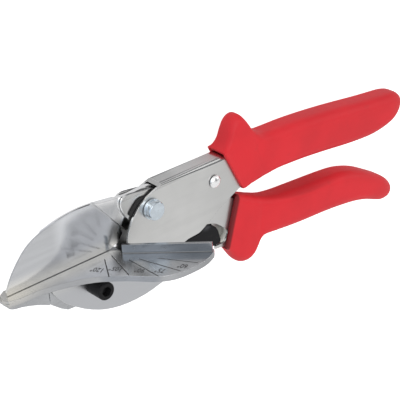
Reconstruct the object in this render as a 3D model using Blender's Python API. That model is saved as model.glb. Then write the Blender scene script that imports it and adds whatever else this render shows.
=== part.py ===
# Mitre shears: an anvil-type cutter with a fan-shaped mitre table and a fence.
# The tool lies on its back. +X runs from the pivot to the handles, +Y to the blade's side,
# +Z out of the table's side. The origin is the pivot axis at the plane that the tool rests on.
import math

import bmesh
import bpy
from mathutils import Matrix, Vector

# Driving sizes, in metres
JAW_LENGTH = 0.075            # pivot axis to the nose, the unit of every x left of the pivot
HEAD_LENGTH = 0.050           # pivot axis to the grips, the unit of x right of the pivot
GRIP_LENGTH = 0.100           # the unit of x along the grips
HEAD_HEIGHT = 0.050           # jaw plate's foot to the channel's top, the unit of every y
PIVOT_RISE = 0.0125           # pivot axis above the table's face
TABLE_DEPTH = 0.036           # blade's face to the table's front edge
GRIP_THICKNESS = 0.014        # palm part of both grips, whose backs lie on the rest plane
GAP = 0.0003                  # between neighbours that touch
OVERRUN = 0.004               # how far a cutter runs past what it cuts

# Plates and the stack on the pivot
WALL = 0.0010                 # sheet of both channels
BEND_RADIUS = 0.0018          # outer bend of the upper channel
ARM_THICKNESS = 0.0022
SPACER_THICKNESS = 0.0004
BLADE_THICKNESS = 0.0010
BLADE_STEP = 0.0004           # arm's hub in front of the blade's face
HOLDER_THICKNESS = 0.0011     # arm behind the blade

# Mitre table
SLAB_THICKNESS = 0.0026
SLAB_EDGE = 0.0007
FENCE_LENGTH = 0.037
FENCE_HEIGHT = 0.0038
FENCE_THICKNESS = 0.0014
FENCE_MARGIN = 0.0005
FENCE_ANGLE = math.radians(45)
GROOVE_WIDTH = 0.0005
GROOVE_DEPTH = 0.0003
NOSE_BEVEL = 0.0009

# Fasteners
BOLT_RADIUS = 0.0029
BOLT_HEAD_RADIUS = 0.0045
BOLT_HEAD_HEIGHT = 0.0036
BOLT_COLLAR_HEIGHT = 0.0009
BOLT_CHAMFER = 0.0004
NUT_WIDTH = 0.0088
NUT_CLEARANCE = 0.0003
SCREW_RADIUS = 0.0024
SCREW_HEAD_RADIUS = 0.0039
SCREW_HEAD_HEIGHT = 0.0084
SCREW_CHAMFER = 0.0004
SOCKET_WIDTH = 0.0040
SOCKET_DEPTH = 0.0034
SCREW_NUT_WIDTH = 0.0078
SCREW_NUT_LIFT = 0.0002
CATCH_RADIUS = 0.0020
CATCH_HEAD_RADIUS = 0.0029
CATCH_DOME = 0.0015
CATCH_BACK_DOME = 0.0011
FLUSH_RADIUS = 0.0017
FLUSH_HEAD_RADIUS = 0.0024
FLUSH_HEAD = 0.00035
BLADE_SCREW_RADIUS = 0.0012
BLADE_SCREW_HEAD_RADIUS = 0.0023
BLADE_SCREW_HEAD = 0.0012
BLADE_SCREW_FLOOR = 0.0003

# Grips
GRIP_CORNER_STEPS = 4
GRIP_BOW_STATIONS = 6         # over how many sections the lip's bow fades
GRIP_FULLEST = 0.98           # a corner's largest share of half the section

# Latch and opening spring
LATCH_PIN_RADIUS = 0.0014
LATCH_SWING = math.radians(18)
LATCH_FRONT_RISE = 0.0006     # lever's face in front of the lower channel's wall
THUMB_BEVEL = 0.0005
SPRING_RADIUS = 0.0024        # middle of the wire
SPRING_WIRE = 0.0008
SPRING_TURNS = 5.5
SPRING_POINTS = 9             # to a turn
SEAT_THICKNESS = 0.0011
SEAT_LENGTH = 0.0070
SEAT_PEG_RADIUS = 0.0012
SEAT_PEG_HEIGHT = 0.0012
SEAT_KEEL_DEPTH = 0.0026
SEAT_KEEL_LENGTH = 0.0050

# Levels of the stack, worked out from the middle plane
MIDDLE = GRIP_THICKNESS / 2
ARM_BACK = MIDDLE - ARM_THICKNESS / 2
ARM_FRONT = MIDDLE + ARM_THICKNESS / 2
INNER_HALF = ARM_THICKNESS / 2 + GAP              # middle plane to the lower channel's inner face
SPACER_HALF = INNER_HALF + WALL + GAP
OUTER_HALF = SPACER_HALF + SPACER_THICKNESS + GAP  # middle plane to the upper channel's inner face
OUTER_FRONT = MIDDLE + OUTER_HALF + WALL
OUTER_BACK = MIDDLE - OUTER_HALF - WALL
BLADE_FACE = ARM_FRONT - BLADE_STEP
BLADE_BACK = BLADE_FACE - BLADE_THICKNESS
HOLDER_FRONT = BLADE_BACK - GAP
HOLDER_BACK = HOLDER_FRONT - HOLDER_THICKNESS
TABLE_FACE = -PIVOT_RISE
SLAB_FOOT = TABLE_FACE - SLAB_THICKNESS

# Outlines, as shares: jaw points of JAW_LENGTH, head points of HEAD_LENGTH, handle points of
# GRIP_LENGTH past the head, each with y as a share of HEAD_HEIGHT
FOOT_JAW_SHARES = (
    (-0.697, -0.342), (-0.685, -0.382), (-0.653, -0.445), (-0.609, -0.513), (-0.514, -0.617),
    (-0.416, -0.693), (-0.328, -0.735), (-0.224, -0.757), (-0.102, -0.753))
FOOT_HEAD_SHARES = (
    (0.014, -0.721), (0.124, -0.684), (0.198, -0.616), (0.256, -0.510), (0.312, -0.440),
    (0.384, -0.427), (0.462, -0.421), (0.504, -0.404), (0.616, -0.341), (0.694, -0.289),
    (0.834, -0.223), (0.950, -0.172))
FOOT_HANDLE_SHARES = (
    (0.047, -0.132), (0.187, -0.098), (0.377, -0.118), (0.497, -0.142), (0.687, -0.182),
    (0.807, -0.182), (0.867, -0.158), (0.887, -0.070), (0.862, 0.010))
TOP_HANDLE_SHARES = (
    (0.767, 0.036), (0.607, 0.072), (0.457, 0.104), (0.247, 0.142), (0.137, 0.158), (0.007, 0.178))
WEB_SHARE = 0.183
WEB_BACK_SHARE = 0.714
WEB_FRONT_SHARE = 0.124
BROW_HEAD_SHARES = ((0.108, 0.168), (0.042, 0.147))
BROW_JAW_SHARES = (
    (-0.009, 0.124), (-0.049, 0.096), (-0.083, 0.058), (-0.110, 0.016), (-0.134, -0.030),
    (-0.154, -0.078), (-0.169, -0.126), (-0.179, -0.174))
HEEL_SHARE = -0.183           # jaw share of the wall's front edge under the table
LENS_SHARE = -0.690           # jaw share of the plates' front end

# Stations of each grip from its lip to its end: x and y of the top, x and y of the bottom, half
# the thickness at both, and the radius of the corners. x is a share of GRIP_LENGTH past the head,
# y of HEAD_HEIGHT, and the rest of GRIP_THICKNESS.
UPPER_STATION_SHARES = (
    (-0.107, 0.218, -0.020, -0.182, 0.44, 0.44, 0.11),
    (-0.087, 0.242, -0.011, -0.195, 0.40, 0.44, 0.16),
    (-0.066, 0.300, 0.002, -0.200, 0.37, 0.45, 0.21),
    (-0.051, 0.380, 0.017, -0.200, 0.36, 0.46, 0.27),
    (-0.034, 0.446, 0.032, -0.196, 0.35, 0.46, 0.30),
    (-0.011, 0.478, 0.047, -0.191, 0.36, 0.47, 0.31),
    (0.014, 0.474, 0.067, -0.184, 0.37, 0.48, 0.31),
    (0.036, 0.420, 0.087, -0.176, 0.39, 0.49, 0.31),
    (0.060, 0.334, 0.107, -0.170, 0.41, 0.49, 0.31),
    (0.091, 0.268, 0.130, -0.165, 0.45, 0.50, 0.31),
    (0.127, 0.230, 0.157, -0.161, 0.48, 0.50, 0.32),
    (0.183, 0.219, 0.197, -0.158, 0.50, 0.50, 0.32),
    (0.275, 0.213, 0.275, -0.165, 0.50, 0.50, 0.32),
    (0.369, 0.200, 0.364, -0.177, 0.50, 0.50, 0.32),
    (0.487, 0.177, 0.485, -0.202, 0.50, 0.50, 0.32),
    (0.607, 0.147, 0.607, -0.231, 0.50, 0.50, 0.32),
    (0.730, 0.113, 0.729, -0.248, 0.50, 0.50, 0.32),
    (0.815, 0.093, 0.809, -0.236, 0.50, 0.50, 0.32),
    (0.880, 0.080, 0.865, -0.213, 0.49, 0.49, 0.32),
    (0.916, 0.066, 0.900, -0.186, 0.46, 0.46, 0.32),
    (0.938, 0.044, 0.923, -0.152, 0.41, 0.41, 0.31),
    (0.951, 0.014, 0.942, -0.106, 0.33, 0.33, 0.29),
    (0.956, -0.018, 0.954, -0.070, 0.21, 0.21, 0.19))

LOWER_STATION_SHARES = (
    (-0.044, -0.238, -0.122, -0.708, 0.31, 0.30, 0.08),
    (-0.033, -0.246, -0.104, -0.742, 0.32, 0.29, 0.14),
    (-0.013, -0.264, -0.088, -0.800, 0.34, 0.29, 0.22),
    (0.007, -0.282, -0.070, -0.862, 0.36, 0.30, 0.28),
    (0.027, -0.300, -0.040, -0.916, 0.38, 0.32, 0.30),
    (0.047, -0.320, -0.004, -0.930, 0.39, 0.34, 0.31),
    (0.067, -0.338, 0.026, -0.904, 0.41, 0.35, 0.31),
    (0.087, -0.356, 0.045, -0.846, 0.41, 0.37, 0.31),
    (0.113, -0.377, 0.059, -0.786, 0.43, 0.40, 0.31),
    (0.144, -0.396, 0.088, -0.750, 0.45, 0.43, 0.32),
    (0.204, -0.419, 0.141, -0.752, 0.48, 0.46, 0.32),
    (0.264, -0.430, 0.223, -0.765, 0.49, 0.49, 0.32),
    (0.354, -0.444, 0.313, -0.777, 0.50, 0.50, 0.32),
    (0.445, -0.456, 0.404, -0.785, 0.50, 0.50, 0.32),
    (0.536, -0.472, 0.485, -0.796, 0.50, 0.50, 0.32),
    (0.594, -0.491, 0.547, -0.809, 0.50, 0.50, 0.32),
    (0.651, -0.526, 0.602, -0.823, 0.50, 0.50, 0.32),
    (0.707, -0.576, 0.658, -0.844, 0.50, 0.50, 0.32),
    (0.767, -0.646, 0.715, -0.880, 0.49, 0.49, 0.32),
    (0.818, -0.710, 0.769, -0.928, 0.47, 0.47, 0.32),
    (0.852, -0.768, 0.806, -0.958, 0.43, 0.43, 0.31),
    (0.874, -0.818, 0.839, -0.966, 0.36, 0.36, 0.29),
    (0.884, -0.872, 0.866, -0.946, 0.23, 0.23, 0.12))
LOWER_LIP_BOW_SHARE = -0.012     # how far the lower grip's first sections bow towards the jaw

INNER_FRONT_SHARES = (
    (-0.010, 0.162), (-0.052, 0.172), (-0.100, 0.183), (-0.136, 0.186), (-0.162, 0.174),
    (-0.178, 0.144), (-0.180, 0.098), (-0.170, 0.044), (-0.150, -0.016), (-0.127, -0.072),
    (-0.087, -0.152))
INNER_HEEL_SHARES = ((0.000, -0.212), (0.150, -0.186), (0.280, -0.262), (0.400, -0.422),
                     (0.520, -0.582), (0.640, -0.672), (0.780, -0.684))
INNER_FOOT_SHARES = (
    (0.000, -0.688), (0.076, -0.690), (0.130, -0.698), (0.243, -0.724), (0.398, -0.738),
    (0.557, -0.760), (0.638, -0.784), (0.718, -0.832), (0.815, -0.908), (0.845, -0.892),
    (0.840, -0.838), (0.790, -0.746), (0.728, -0.666), (0.664, -0.598), (0.593, -0.550),
    (0.517, -0.526), (0.397, -0.506), (0.287, -0.494), (0.207, -0.484), (0.137, -0.454),
    (0.077, -0.414), (0.017, -0.354))
INNER_TOP_SHARES = (
    (0.920, -0.286), (0.854, -0.246), (0.734, -0.198), (0.614, -0.160), (0.470, -0.122))
INNER_SHOULDER_SHARES = ((0.210, -0.002), (0.176, 0.092), (0.108, 0.138), (0.034, 0.154))
INNER_WEB_SHARE = 0.830       # head share where the lower channel's web starts
SEAT_EDGE_SHARE = -0.094     # y share of the lower channel's edge under the spring's seat
SEAT_BAND_SHARES = (0.236, 0.396)

ARCH_SHARES = (
    (0.200, -0.368), (0.340, -0.368), (0.480, -0.382), (0.588, -0.402), (0.634, -0.413),
    (0.680, -0.432), (0.732, -0.474), (0.784, -0.524), (0.805, -0.562), (0.799, -0.602),
    (0.772, -0.636), (0.734, -0.648), (0.656, -0.646))

ARM_SPINE_SHARES = (
    (-0.692, 0.132), (-0.675, 0.160), (-0.645, 0.173), (-0.558, 0.206), (-0.465, 0.221),
    (-0.388, 0.221), (-0.306, 0.208), (-0.197, 0.184), (-0.106, 0.173), (-0.064, 0.175),
    (-0.020, 0.178))
ARM_HUB_SHARES = ((0.020, 0.179), (0.060, 0.169), (0.104, 0.142), (0.180, 0.060),
                  (0.222, -0.052))
ARM_TAIL_SHARES = (
    (0.250, -0.158), (0.430, -0.172), (0.450, -0.204), (0.420, -0.266), (0.330, -0.258),
    (0.240, -0.212), (0.150, -0.178), (0.000, -0.206))
ARM_CHEEK_SHARES = ((-0.093, -0.172), (-0.147, -0.132))
HOLDER_FOOT_SHARES = ((-0.170, -0.102), (-0.270, -0.098), (-0.467, -0.062), (-0.613, 0.018),
                      (-0.667, 0.098))
HOLDER_END_SHARE = -0.168     # jaw share where the holder stops short of the lower channel
SHOULDER_SHARES = ((-0.345, 0.228), (-0.185, -0.074), (-0.150, -0.140))
BLADE_SPINE_SHARES = (
    (-0.945, -0.212), (-0.936, -0.186), (-0.897, -0.084), (-0.819, 0.054), (-0.743, 0.134),
    (-0.664, 0.174), (-0.576, 0.202), (-0.483, 0.220), (-0.412, 0.218), (-0.352, 0.212))
BLADE_HEEL_SHARES = ((-0.172, -0.148), (-0.204, -0.210), (-0.268, -0.244))
BLADE_TIP_SHARE = -0.944

TABLE_NOSE_SHARES = ((-0.927, None), (-0.965, -0.089), (-0.981, 0.014), (-0.973, 0.078),
                     (-0.949, 0.108))
TABLE_FRONT_SHARES = (
    (-0.895, 0.133), (-0.795, 0.140), (-0.735, 0.170), (-0.685, 0.197), (-0.624, 0.244),
    (-0.571, 0.288), (-0.501, 0.370), (-0.447, 0.464), (-0.368, 0.630), (-0.288, 0.836),
    (-0.223, 0.944), (-0.148, 0.994), (-0.035, 1.000))
TABLE_BROW_SHARES = ((0.060, 0.972),)
FENCE_START_SHARES = (-0.245, 0.164)
SLAB_END_SHARE = -0.232       # jaw share where the slab stops between the plates
TONGUE_SHARES = (
    (-0.708, -0.460), (-0.676, -0.500), (-0.603, -0.576), (-0.507, -0.584), (-0.400, -0.652),
    (-0.267, -0.672), (-0.150, -0.622), (-0.110, -0.482), (-0.097, -0.322))
NOSE_FOOT_SHARES = ((-0.978, -0.292), (-0.965, -0.326), (-0.936, -0.346), (-0.895, -0.356),
                    (-0.839, -0.380), (-0.776, -0.414), (-0.722, -0.452))
GAUGE_LINES_SHARES = (
    (60, -0.399, 0.296, 0.40), (75, -0.333, 0.363, 0.51), (90, -0.264, 0.607, 0.54),
    (105, -0.185, 0.686, 0.58), (120, -0.087, 0.760, 0.48))

TABLE_SCREW_SHARES = (-0.431, -0.440)
CATCH_SHARES = (0.676, -0.010)
LATCH_SHARES = (0.564, -0.260)
SPACER_SHARES = (
    (-0.210, 0.018), (-0.178, 0.058), (-0.144, 0.090), (-0.112, 0.114), (-0.080, 0.122),
    (-0.040, 0.120), (0.036, 0.110), (0.088, 0.062), (0.108, 0.000), (0.084, -0.062),
    (0.024, -0.098), (-0.050, -0.100), (-0.120, -0.064), (-0.184, -0.018))
ARM_RIVET_SHARES = ((0.144, -0.094), (0.370, -0.216))
BLADE_SCREW_SHARES = ((-0.520, 0.078), (-0.350, 0.048))
SPRING_SHARE = 0.314          # head share of the spring's axis
THUMB_SHARES = (
    (-0.232, -0.196), (-0.160, -0.187), (-0.074, -0.182), (-0.028, -0.160), (0.006, -0.150),
    (0.048, -0.160), (0.086, -0.180), (0.116, -0.208), (0.136, -0.250), (0.150, -0.310),
    (0.154, -0.352), (0.112, -0.372), (-0.070, -0.360), (-0.190, -0.300), (-0.262, -0.232))
HOOK_SHARES = (
    (0.070, 0.060), (0.054, 0.210), (0.058, 0.298), (0.150, 0.302), (0.150, 0.350),
    (0.024, 0.354), (-0.020, 0.290), (-0.044, 0.160), (-0.072, 0.030))
NECK_SHARES = ((-0.074, -0.030), (-0.060, -0.210), (0.096, -0.210), (0.072, -0.040))


def jaw(shares):
    return [(x * JAW_LENGTH, y * HEAD_HEIGHT) for x, y in shares]


def head(shares):
    return [(x * HEAD_LENGTH, y * HEAD_HEIGHT) for x, y in shares]


def handle(shares):
    return [(HEAD_LENGTH + x * GRIP_LENGTH, y * HEAD_HEIGHT) for x, y in shares]


def table(shares):
    """Points on the table's plane: x, and z counted from the blade's face."""
    return [(x * (JAW_LENGTH if x < 0 else HEAD_LENGTH), BLADE_FACE + z * TABLE_DEPTH)
            for x, z in shares]


def curve_through(points, steps=2):
    """A smooth open curve through the points, with steps pieces between two of them."""
    ends = [points[0]] + list(points) + [points[-1]]
    curve = []
    for before, start, end, after in zip(ends, ends[1:], ends[2:], ends[3:]):
        for step in range(steps):
            t = step / steps
            curve.append(tuple(
                0.5 * (2 * p + (q - o) * t + (2 * o - 5 * p + 4 * q - r) * t ** 2
                       + (3 * p - o - 3 * q + r) * t ** 3)
                for o, p, q, r in zip(before, start, end, after)))
    curve.append(tuple(points[-1]))
    return curve


def ring_through(points, steps=2):
    """A smooth closed curve through the points."""
    count = len(points)
    return curve_through([points[-1]] + list(points) + [points[0], points[1]], steps)[
        steps:steps * (count + 1)]


def turned_by(points, angle, centre=(0, 0)):
    cosine, sine = math.cos(angle), math.sin(angle)
    return [(centre[0] + (x - centre[0]) * cosine - (y - centre[1]) * sine,
             centre[1] + (x - centre[0]) * sine + (y - centre[1]) * cosine) for x, y in points]


def grown(points, distance):
    """The outline moved outwards, point by point, along its own normals."""
    area = sum(a[0] * b[1] - b[0] * a[1] for a, b in zip(points, points[1:] + points[:1]))
    side = 1 if area > 0 else -1
    result = []
    for before, here, after in zip(points[-1:] + points[:-1], points, points[1:] + points[:1]):
        along = Vector(after) - Vector(before)
        normal = Vector((along.y, -along.x)).normalized() * side
        result.append((here[0] + normal.x * distance, here[1] + normal.y * distance))
    return result


def material(name, colour, roughness, metallic):
    shader = bpy.data.materials.new(name)
    shader.use_nodes = True
    node = shader.node_tree.nodes["Principled BSDF"]
    node.inputs["Base Color"].default_value = (*colour, 1)
    node.inputs["Roughness"].default_value = roughness
    node.inputs["Metallic"].default_value = metallic
    return shader


PLATED = ((0.58, 0.58, 0.57), 0.32, 1.0)
POLISHED = ((0.52, 0.53, 0.55), 0.10, 1.0)
CAST = ((0.45, 0.46, 0.47), 0.25, 1.0)
ZINC = ((0.60, 0.64, 0.68), 0.22, 1.0)
RED = ((0.68, 0.035, 0.045), 0.38, 0.0)
BLACK = ((0.018, 0.018, 0.020), 0.42, 0.0)
SPRING_STEEL = ((0.35, 0.35, 0.36), 0.3, 1.0)


def finished(bm, name, finish, place=(0, 0, 0), smooth=40):
    bmesh.ops.recalc_face_normals(bm, faces=bm.faces)
    mesh = bpy.data.meshes.new(name)
    bm.to_mesh(mesh)
    bm.free()
    mesh.shade_smooth()
    mesh.set_sharp_from_angle(angle=math.radians(smooth))
    piece = bpy.data.objects.new(name, mesh)
    piece.location = place
    bpy.context.scene.collection.objects.link(piece)
    if finish:
        piece.data.materials.append(material(name, *finish))
    return piece


def plate(outline, low, high, upright=False):
    """A bmesh prism: the outline lies in x and y, or in x and z when it is upright."""
    bm = bmesh.new()
    if upright:
        corners = [bm.verts.new((x, low, z)) for x, z in outline]
        rise = Vector((0, high - low, 0))
    else:
        corners = [bm.verts.new((x, y, low)) for x, y in outline]
        rise = Vector((0, 0, high - low))
    face = bm.faces.new(corners)
    lifted = bmesh.ops.extrude_face_region(bm, geom=[face])
    bmesh.ops.translate(bm, verts=[v for v in lifted["geom"] if isinstance(v, bmesh.types.BMVert)],
                        vec=rise)
    bmesh.ops.recalc_face_normals(bm, faces=bm.faces)
    return bm


def turned(profile, centre, sides=32):
    """A bmesh turned about a line along Z, from (radius, z) points that start and end on it."""
    bm = bmesh.new()
    corners = [bm.verts.new((centre[0] + radius, centre[1], z)) for radius, z in profile]
    edges = [bm.edges.new(pair) for pair in zip(corners, corners[1:])]
    bmesh.ops.spin(bm, geom=corners + edges, cent=(*centre, 0), axis=(0, 0, 1),
                   angle=math.tau, steps=sides, use_merge=True)
    bmesh.ops.remove_doubles(bm, verts=bm.verts, dist=GAP / 30)
    bmesh.ops.recalc_face_normals(bm, faces=bm.faces)
    return bm


def hexagon(width, centre, turn=0.0):
    radius = width / math.sqrt(3)
    return [(centre[0] + radius * math.cos(turn + k * math.pi / 3),
             centre[1] + radius * math.sin(turn + k * math.pi / 3)) for k in range(6)]


def round_cutter(centre, radius, low=None, high=None, sides=24):
    low = OUTER_BACK - OVERRUN if low is None else low
    high = OUTER_FRONT + OVERRUN if high is None else high
    return turned([(0, low), (radius, low), (radius, high), (0, high)], centre, sides)


def combine(piece, bm, operation):
    """Cuts the bmesh from the piece, or fuses it on, with a Boolean that stays on the piece."""
    tool = finished(bm, piece.name + "_tool", None)
    tool.parent = piece.parent
    tool.hide_render = True
    tool.display_type = "WIRE"
    boolean = piece.modifiers.new(operation.title(), "BOOLEAN")
    boolean.operation = operation
    boolean.object = tool


def cut(piece, bm):
    combine(piece, bm, "DIFFERENCE")


def fuse(piece, bm):
    combine(piece, bm, "UNION")


def rounded(piece, width, segments=2, angle=50):
    bevel = piece.modifiers.new("Edges", "BEVEL")
    bevel.width = width
    bevel.segments = segments
    bevel.limit_method = "ANGLE"
    bevel.angle_limit = math.radians(angle)


def channel_outline():
    under = SLAB_FOOT - GAP
    foot = curve_through([(LENS_SHARE * JAW_LENGTH, under)] + jaw(FOOT_JAW_SHARES)
                         + head(FOOT_HEAD_SHARES) + handle(FOOT_HANDLE_SHARES), 2)
    top = handle(TOP_HANDLE_SHARES) + head(((WEB_BACK_SHARE, WEB_SHARE),
                                            (WEB_FRONT_SHARE, WEB_SHARE)))
    brow = curve_through(head(BROW_HEAD_SHARES) + jaw(BROW_JAW_SHARES), 2)
    return foot + top + brow + [(HEEL_SHARE * JAW_LENGTH, TABLE_FACE),
                                (HEEL_SHARE * JAW_LENGTH, under)]


def make_upper_channel():
    bm = plate(channel_outline(), OUTER_BACK, OUTER_FRONT)
    web = WEB_SHARE * HEAD_HEIGHT
    bends = [e for e in bm.edges
             if abs(e.verts[0].co.z - e.verts[1].co.z) < GAP
             and min(v.co.y for v in e.verts) > web - GAP
             and min(v.co.x for v in e.verts) > 0]
    bmesh.ops.bevel(bm, geom=bends, offset=BEND_RADIUS, segments=4, profile=0.5,
                    affect="EDGES", material=-1)
    piece = finished(bm, "upper_channel", PLATED)
    top = [(x, y - WALL) for x, y in head(((WEB_BACK_SHARE, WEB_SHARE),))
           + handle(TOP_HANDLE_SHARES)[::-1]]
    left = -JAW_LENGTH
    right = HEAD_LENGTH + GRIP_LENGTH
    hollow = [(left, web - WALL)] + top + [(right, top[-1][1] - WALL), (right, -HEAD_HEIGHT),
                                           (left, -HEAD_HEIGHT)]
    cut(piece, plate(hollow, MIDDLE - OUTER_HALF, MIDDLE + OUTER_HALF))
    cut(piece, round_cutter((0, 0), BOLT_RADIUS + GAP))
    cut(piece, round_cutter(head((CATCH_SHARES,))[0], CATCH_RADIUS + GAP))
    cut(piece, round_cutter(jaw((TABLE_SCREW_SHARES,))[0], SCREW_RADIUS + GAP))


def grip_section(station, bow):
    """A ring of points: a rounded rectangle that stands on the line from bottom to top."""
    top_x, top_y, low_x, low_y, top_half, low_half, radius = station
    top, low = (Vector(point) for point in handle(((top_x, top_y), (low_x, low_y))))
    rise = (top - low) / 2
    centre = (top + low) / 2
    up = rise.normalized()
    corner = min(radius * GRIP_THICKNESS, rise.length * GRIP_FULLEST,
                 min(top_half, low_half) * GRIP_THICKNESS * GRIP_FULLEST)
    ring = []
    for quarter in range(4):
        on_top = quarter in (0, 3)
        on_front = quarter in (0, 1)
        half = (top_half if on_top else low_half) * GRIP_THICKNESS
        for step in range(GRIP_CORNER_STEPS + 1):
            angle = (quarter + step / GRIP_CORNER_STEPS) * math.pi / 2
            along = (rise.length - corner) * (1 if on_top else -1) + corner * math.cos(angle)
            across = (half - corner) * (1 if on_front else -1) + corner * math.sin(angle)
            sag = bow * GRIP_LENGTH * (1 - (along / rise.length) ** 2)
            place = centre + up * along
            ring.append((place.x + sag * up.y, place.y - sag * up.x, MIDDLE + across))
    return ring


def grip_body(stations, bow):
    """A bmesh skin over the stations, with a flat face on the lip and one on the end."""
    bm = bmesh.new()
    rings = []
    for number, station in enumerate(curve_through(stations, 2)):
        fade = max(0, 1 - number / GRIP_BOW_STATIONS)
        rings.append([bm.verts.new(point) for point in grip_section(station, bow * fade)])
    for first, second in zip(rings, rings[1:]):
        for a, b, c, d in zip(first, first[1:] + first[:1], second[1:] + second[:1], second):
            bm.faces.new((a, b, c, d))
    bm.faces.new(rings[0])
    bm.faces.new(rings[-1])
    return bm


def make_upper_grip():
    piece = finished(grip_body(UPPER_STATION_SHARES, 0), "upper_grip", RED)
    core = (curve_through(head(FOOT_HEAD_SHARES[-4:]) + handle(FOOT_HANDLE_SHARES), 2)
            + handle(TOP_HANDLE_SHARES) + head(((WEB_BACK_SHARE, WEB_SHARE),
                                                (FOOT_HEAD_SHARES[-4][0], WEB_SHARE))))
    cut(piece, plate(grown(core, GAP), OUTER_BACK - GAP, OUTER_FRONT + GAP))


def inner_outline():
    band = [(share * HEAD_LENGTH, SEAT_EDGE_SHARE * HEAD_HEIGHT) for share in SEAT_BAND_SHARES[::-1]]
    return (curve_through(jaw(INNER_FRONT_SHARES), 2) + head(INNER_HEEL_SHARES)
            + handle(INNER_FOOT_SHARES) + head(INNER_TOP_SHARES) + band
            + head(INNER_SHOULDER_SHARES))


def make_lower_channel(parent):
    half = INNER_HALF + WALL
    piece = finished(plate(inner_outline(), MIDDLE - half, MIDDLE + half), "lower_channel", PLATED)
    piece.parent = parent
    start = INNER_WEB_SHARE * HEAD_LENGTH
    feet = head(INNER_HEEL_SHARES[-1:]) + handle(INNER_FOOT_SHARES[:9])
    floor = [(x, y + WALL) for x, y in feet[1:]]
    past = HEAD_LENGTH + GRIP_LENGTH
    hollow = ([(-JAW_LENGTH, -HEAD_HEIGHT), (start, -HEAD_HEIGHT), (start, feet[0][1] + WALL)]
              + floor + [(past, floor[-1][1]), (past, HEAD_HEIGHT), (-JAW_LENGTH, HEAD_HEIGHT)])
    cut(piece, plate(hollow, MIDDLE - INNER_HALF, MIDDLE + INNER_HALF))
    arch = curve_through(head(ARCH_SHARES), 2)
    arch += [(arch[-1][0], -HEAD_HEIGHT), (arch[0][0], -HEAD_HEIGHT)]
    cut(piece, plate(arch, MIDDLE + INNER_HALF / 2, MIDDLE + half + OVERRUN))
    cut(piece, round_cutter((0, 0), BOLT_RADIUS + GAP))
    cut(piece, round_cutter(head((LATCH_SHARES,))[0], LATCH_PIN_RADIUS + GAP))
    for place in head(ARM_RIVET_SHARES):
        cut(piece, round_cutter(place, FLUSH_RADIUS + GAP))


def make_lower_grip(parent):
    piece = finished(grip_body(LOWER_STATION_SHARES, LOWER_LIP_BOW_SHARE), "lower_grip", RED)
    piece.parent = parent
    core = (head(INNER_HEEL_SHARES[-2:]) + handle(INNER_FOOT_SHARES) + head(INNER_TOP_SHARES[:3]))
    half = INNER_HALF + WALL + GAP
    cut(piece, plate(grown(core, GAP), MIDDLE - half, MIDDLE + half))


def make_blade_arm(parent):
    spine = curve_through(jaw(ARM_SPINE_SHARES) + head(ARM_HUB_SHARES), 2)
    hub_front = jaw(SHOULDER_SHARES)
    tail = head(ARM_TAIL_SHARES) + jaw(ARM_CHEEK_SHARES)
    hub = [point for point in spine if point[0] > hub_front[0][0]] + tail + hub_front[::-1]
    piece = finished(plate(hub, ARM_BACK, ARM_FRONT), "blade_arm", POLISHED)
    piece.parent = parent
    end = HOLDER_END_SHARE * JAW_LENGTH
    holder = ([point for point in spine if point[0] < end]
              + [(end, HOLDER_FOOT_SHARES[0][1] * HEAD_HEIGHT)]
              + curve_through(jaw(HOLDER_FOOT_SHARES[1:]), 2))
    fuse(piece, plate(holder, HOLDER_BACK, HOLDER_FRONT))
    cut(piece, round_cutter((0, 0), BOLT_RADIUS + GAP))
    for place in head(ARM_RIVET_SHARES):
        cut(piece, round_cutter(place, FLUSH_RADIUS + GAP))
    for place in jaw(BLADE_SCREW_SHARES):
        cut(piece, round_cutter(place, BLADE_SCREW_RADIUS + GAP, sides=16))


def make_cutting_blade(parent):
    edge = TABLE_FACE + GAP
    spine = curve_through(jaw(BLADE_SPINE_SHARES), 2)
    heel = [(x - GAP, y) for x, y in jaw(SHOULDER_SHARES[1:2] + BLADE_HEEL_SHARES)]
    outline = [(BLADE_TIP_SHARE * JAW_LENGTH, edge)] + spine + heel[:-1] + [(heel[-1][0], edge)]
    piece = finished(plate(outline, BLADE_BACK, BLADE_FACE), "cutting_blade", POLISHED)
    piece.parent = parent
    for place in jaw(BLADE_SCREW_SHARES):
        cut(piece, round_cutter(place, BLADE_SCREW_RADIUS + GAP, BLADE_BACK - OVERRUN,
                                BLADE_FACE - BLADE_SCREW_FLOOR, sides=16))


def fence_frame():
    """The fence's first corner on the table, and its unit directions along and back from the face."""
    start = Vector(table((FENCE_START_SHARES,))[0])
    along = Vector((math.cos(FENCE_ANGLE), math.sin(FENCE_ANGLE)))
    back = Vector((along.y, -along.x))
    return start, along, back


def slab_outline():
    start, along, back = fence_frame()
    corner = start + along * (FENCE_LENGTH + FENCE_MARGIN) - back * FENCE_MARGIN
    rear = corner + back * (FENCE_THICKNESS + 2 * FENCE_MARGIN)
    near = OUTER_FRONT + GAP
    foot = rear - along * ((rear.y - near) / along.y)
    end = SLAB_END_SHARE * JAW_LENGTH
    nose = [(x * JAW_LENGTH, OUTER_BACK if z is None else BLADE_FACE + z * TABLE_DEPTH)
            for x, z in TABLE_NOSE_SHARES]
    front = curve_through(nose[1:] + table(TABLE_FRONT_SHARES + TABLE_BROW_SHARES)
                          + [tuple(corner)], 2)
    return [nose[0]] + front + [tuple(rear), tuple(foot), (end, near), (end, OUTER_BACK)]


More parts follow.
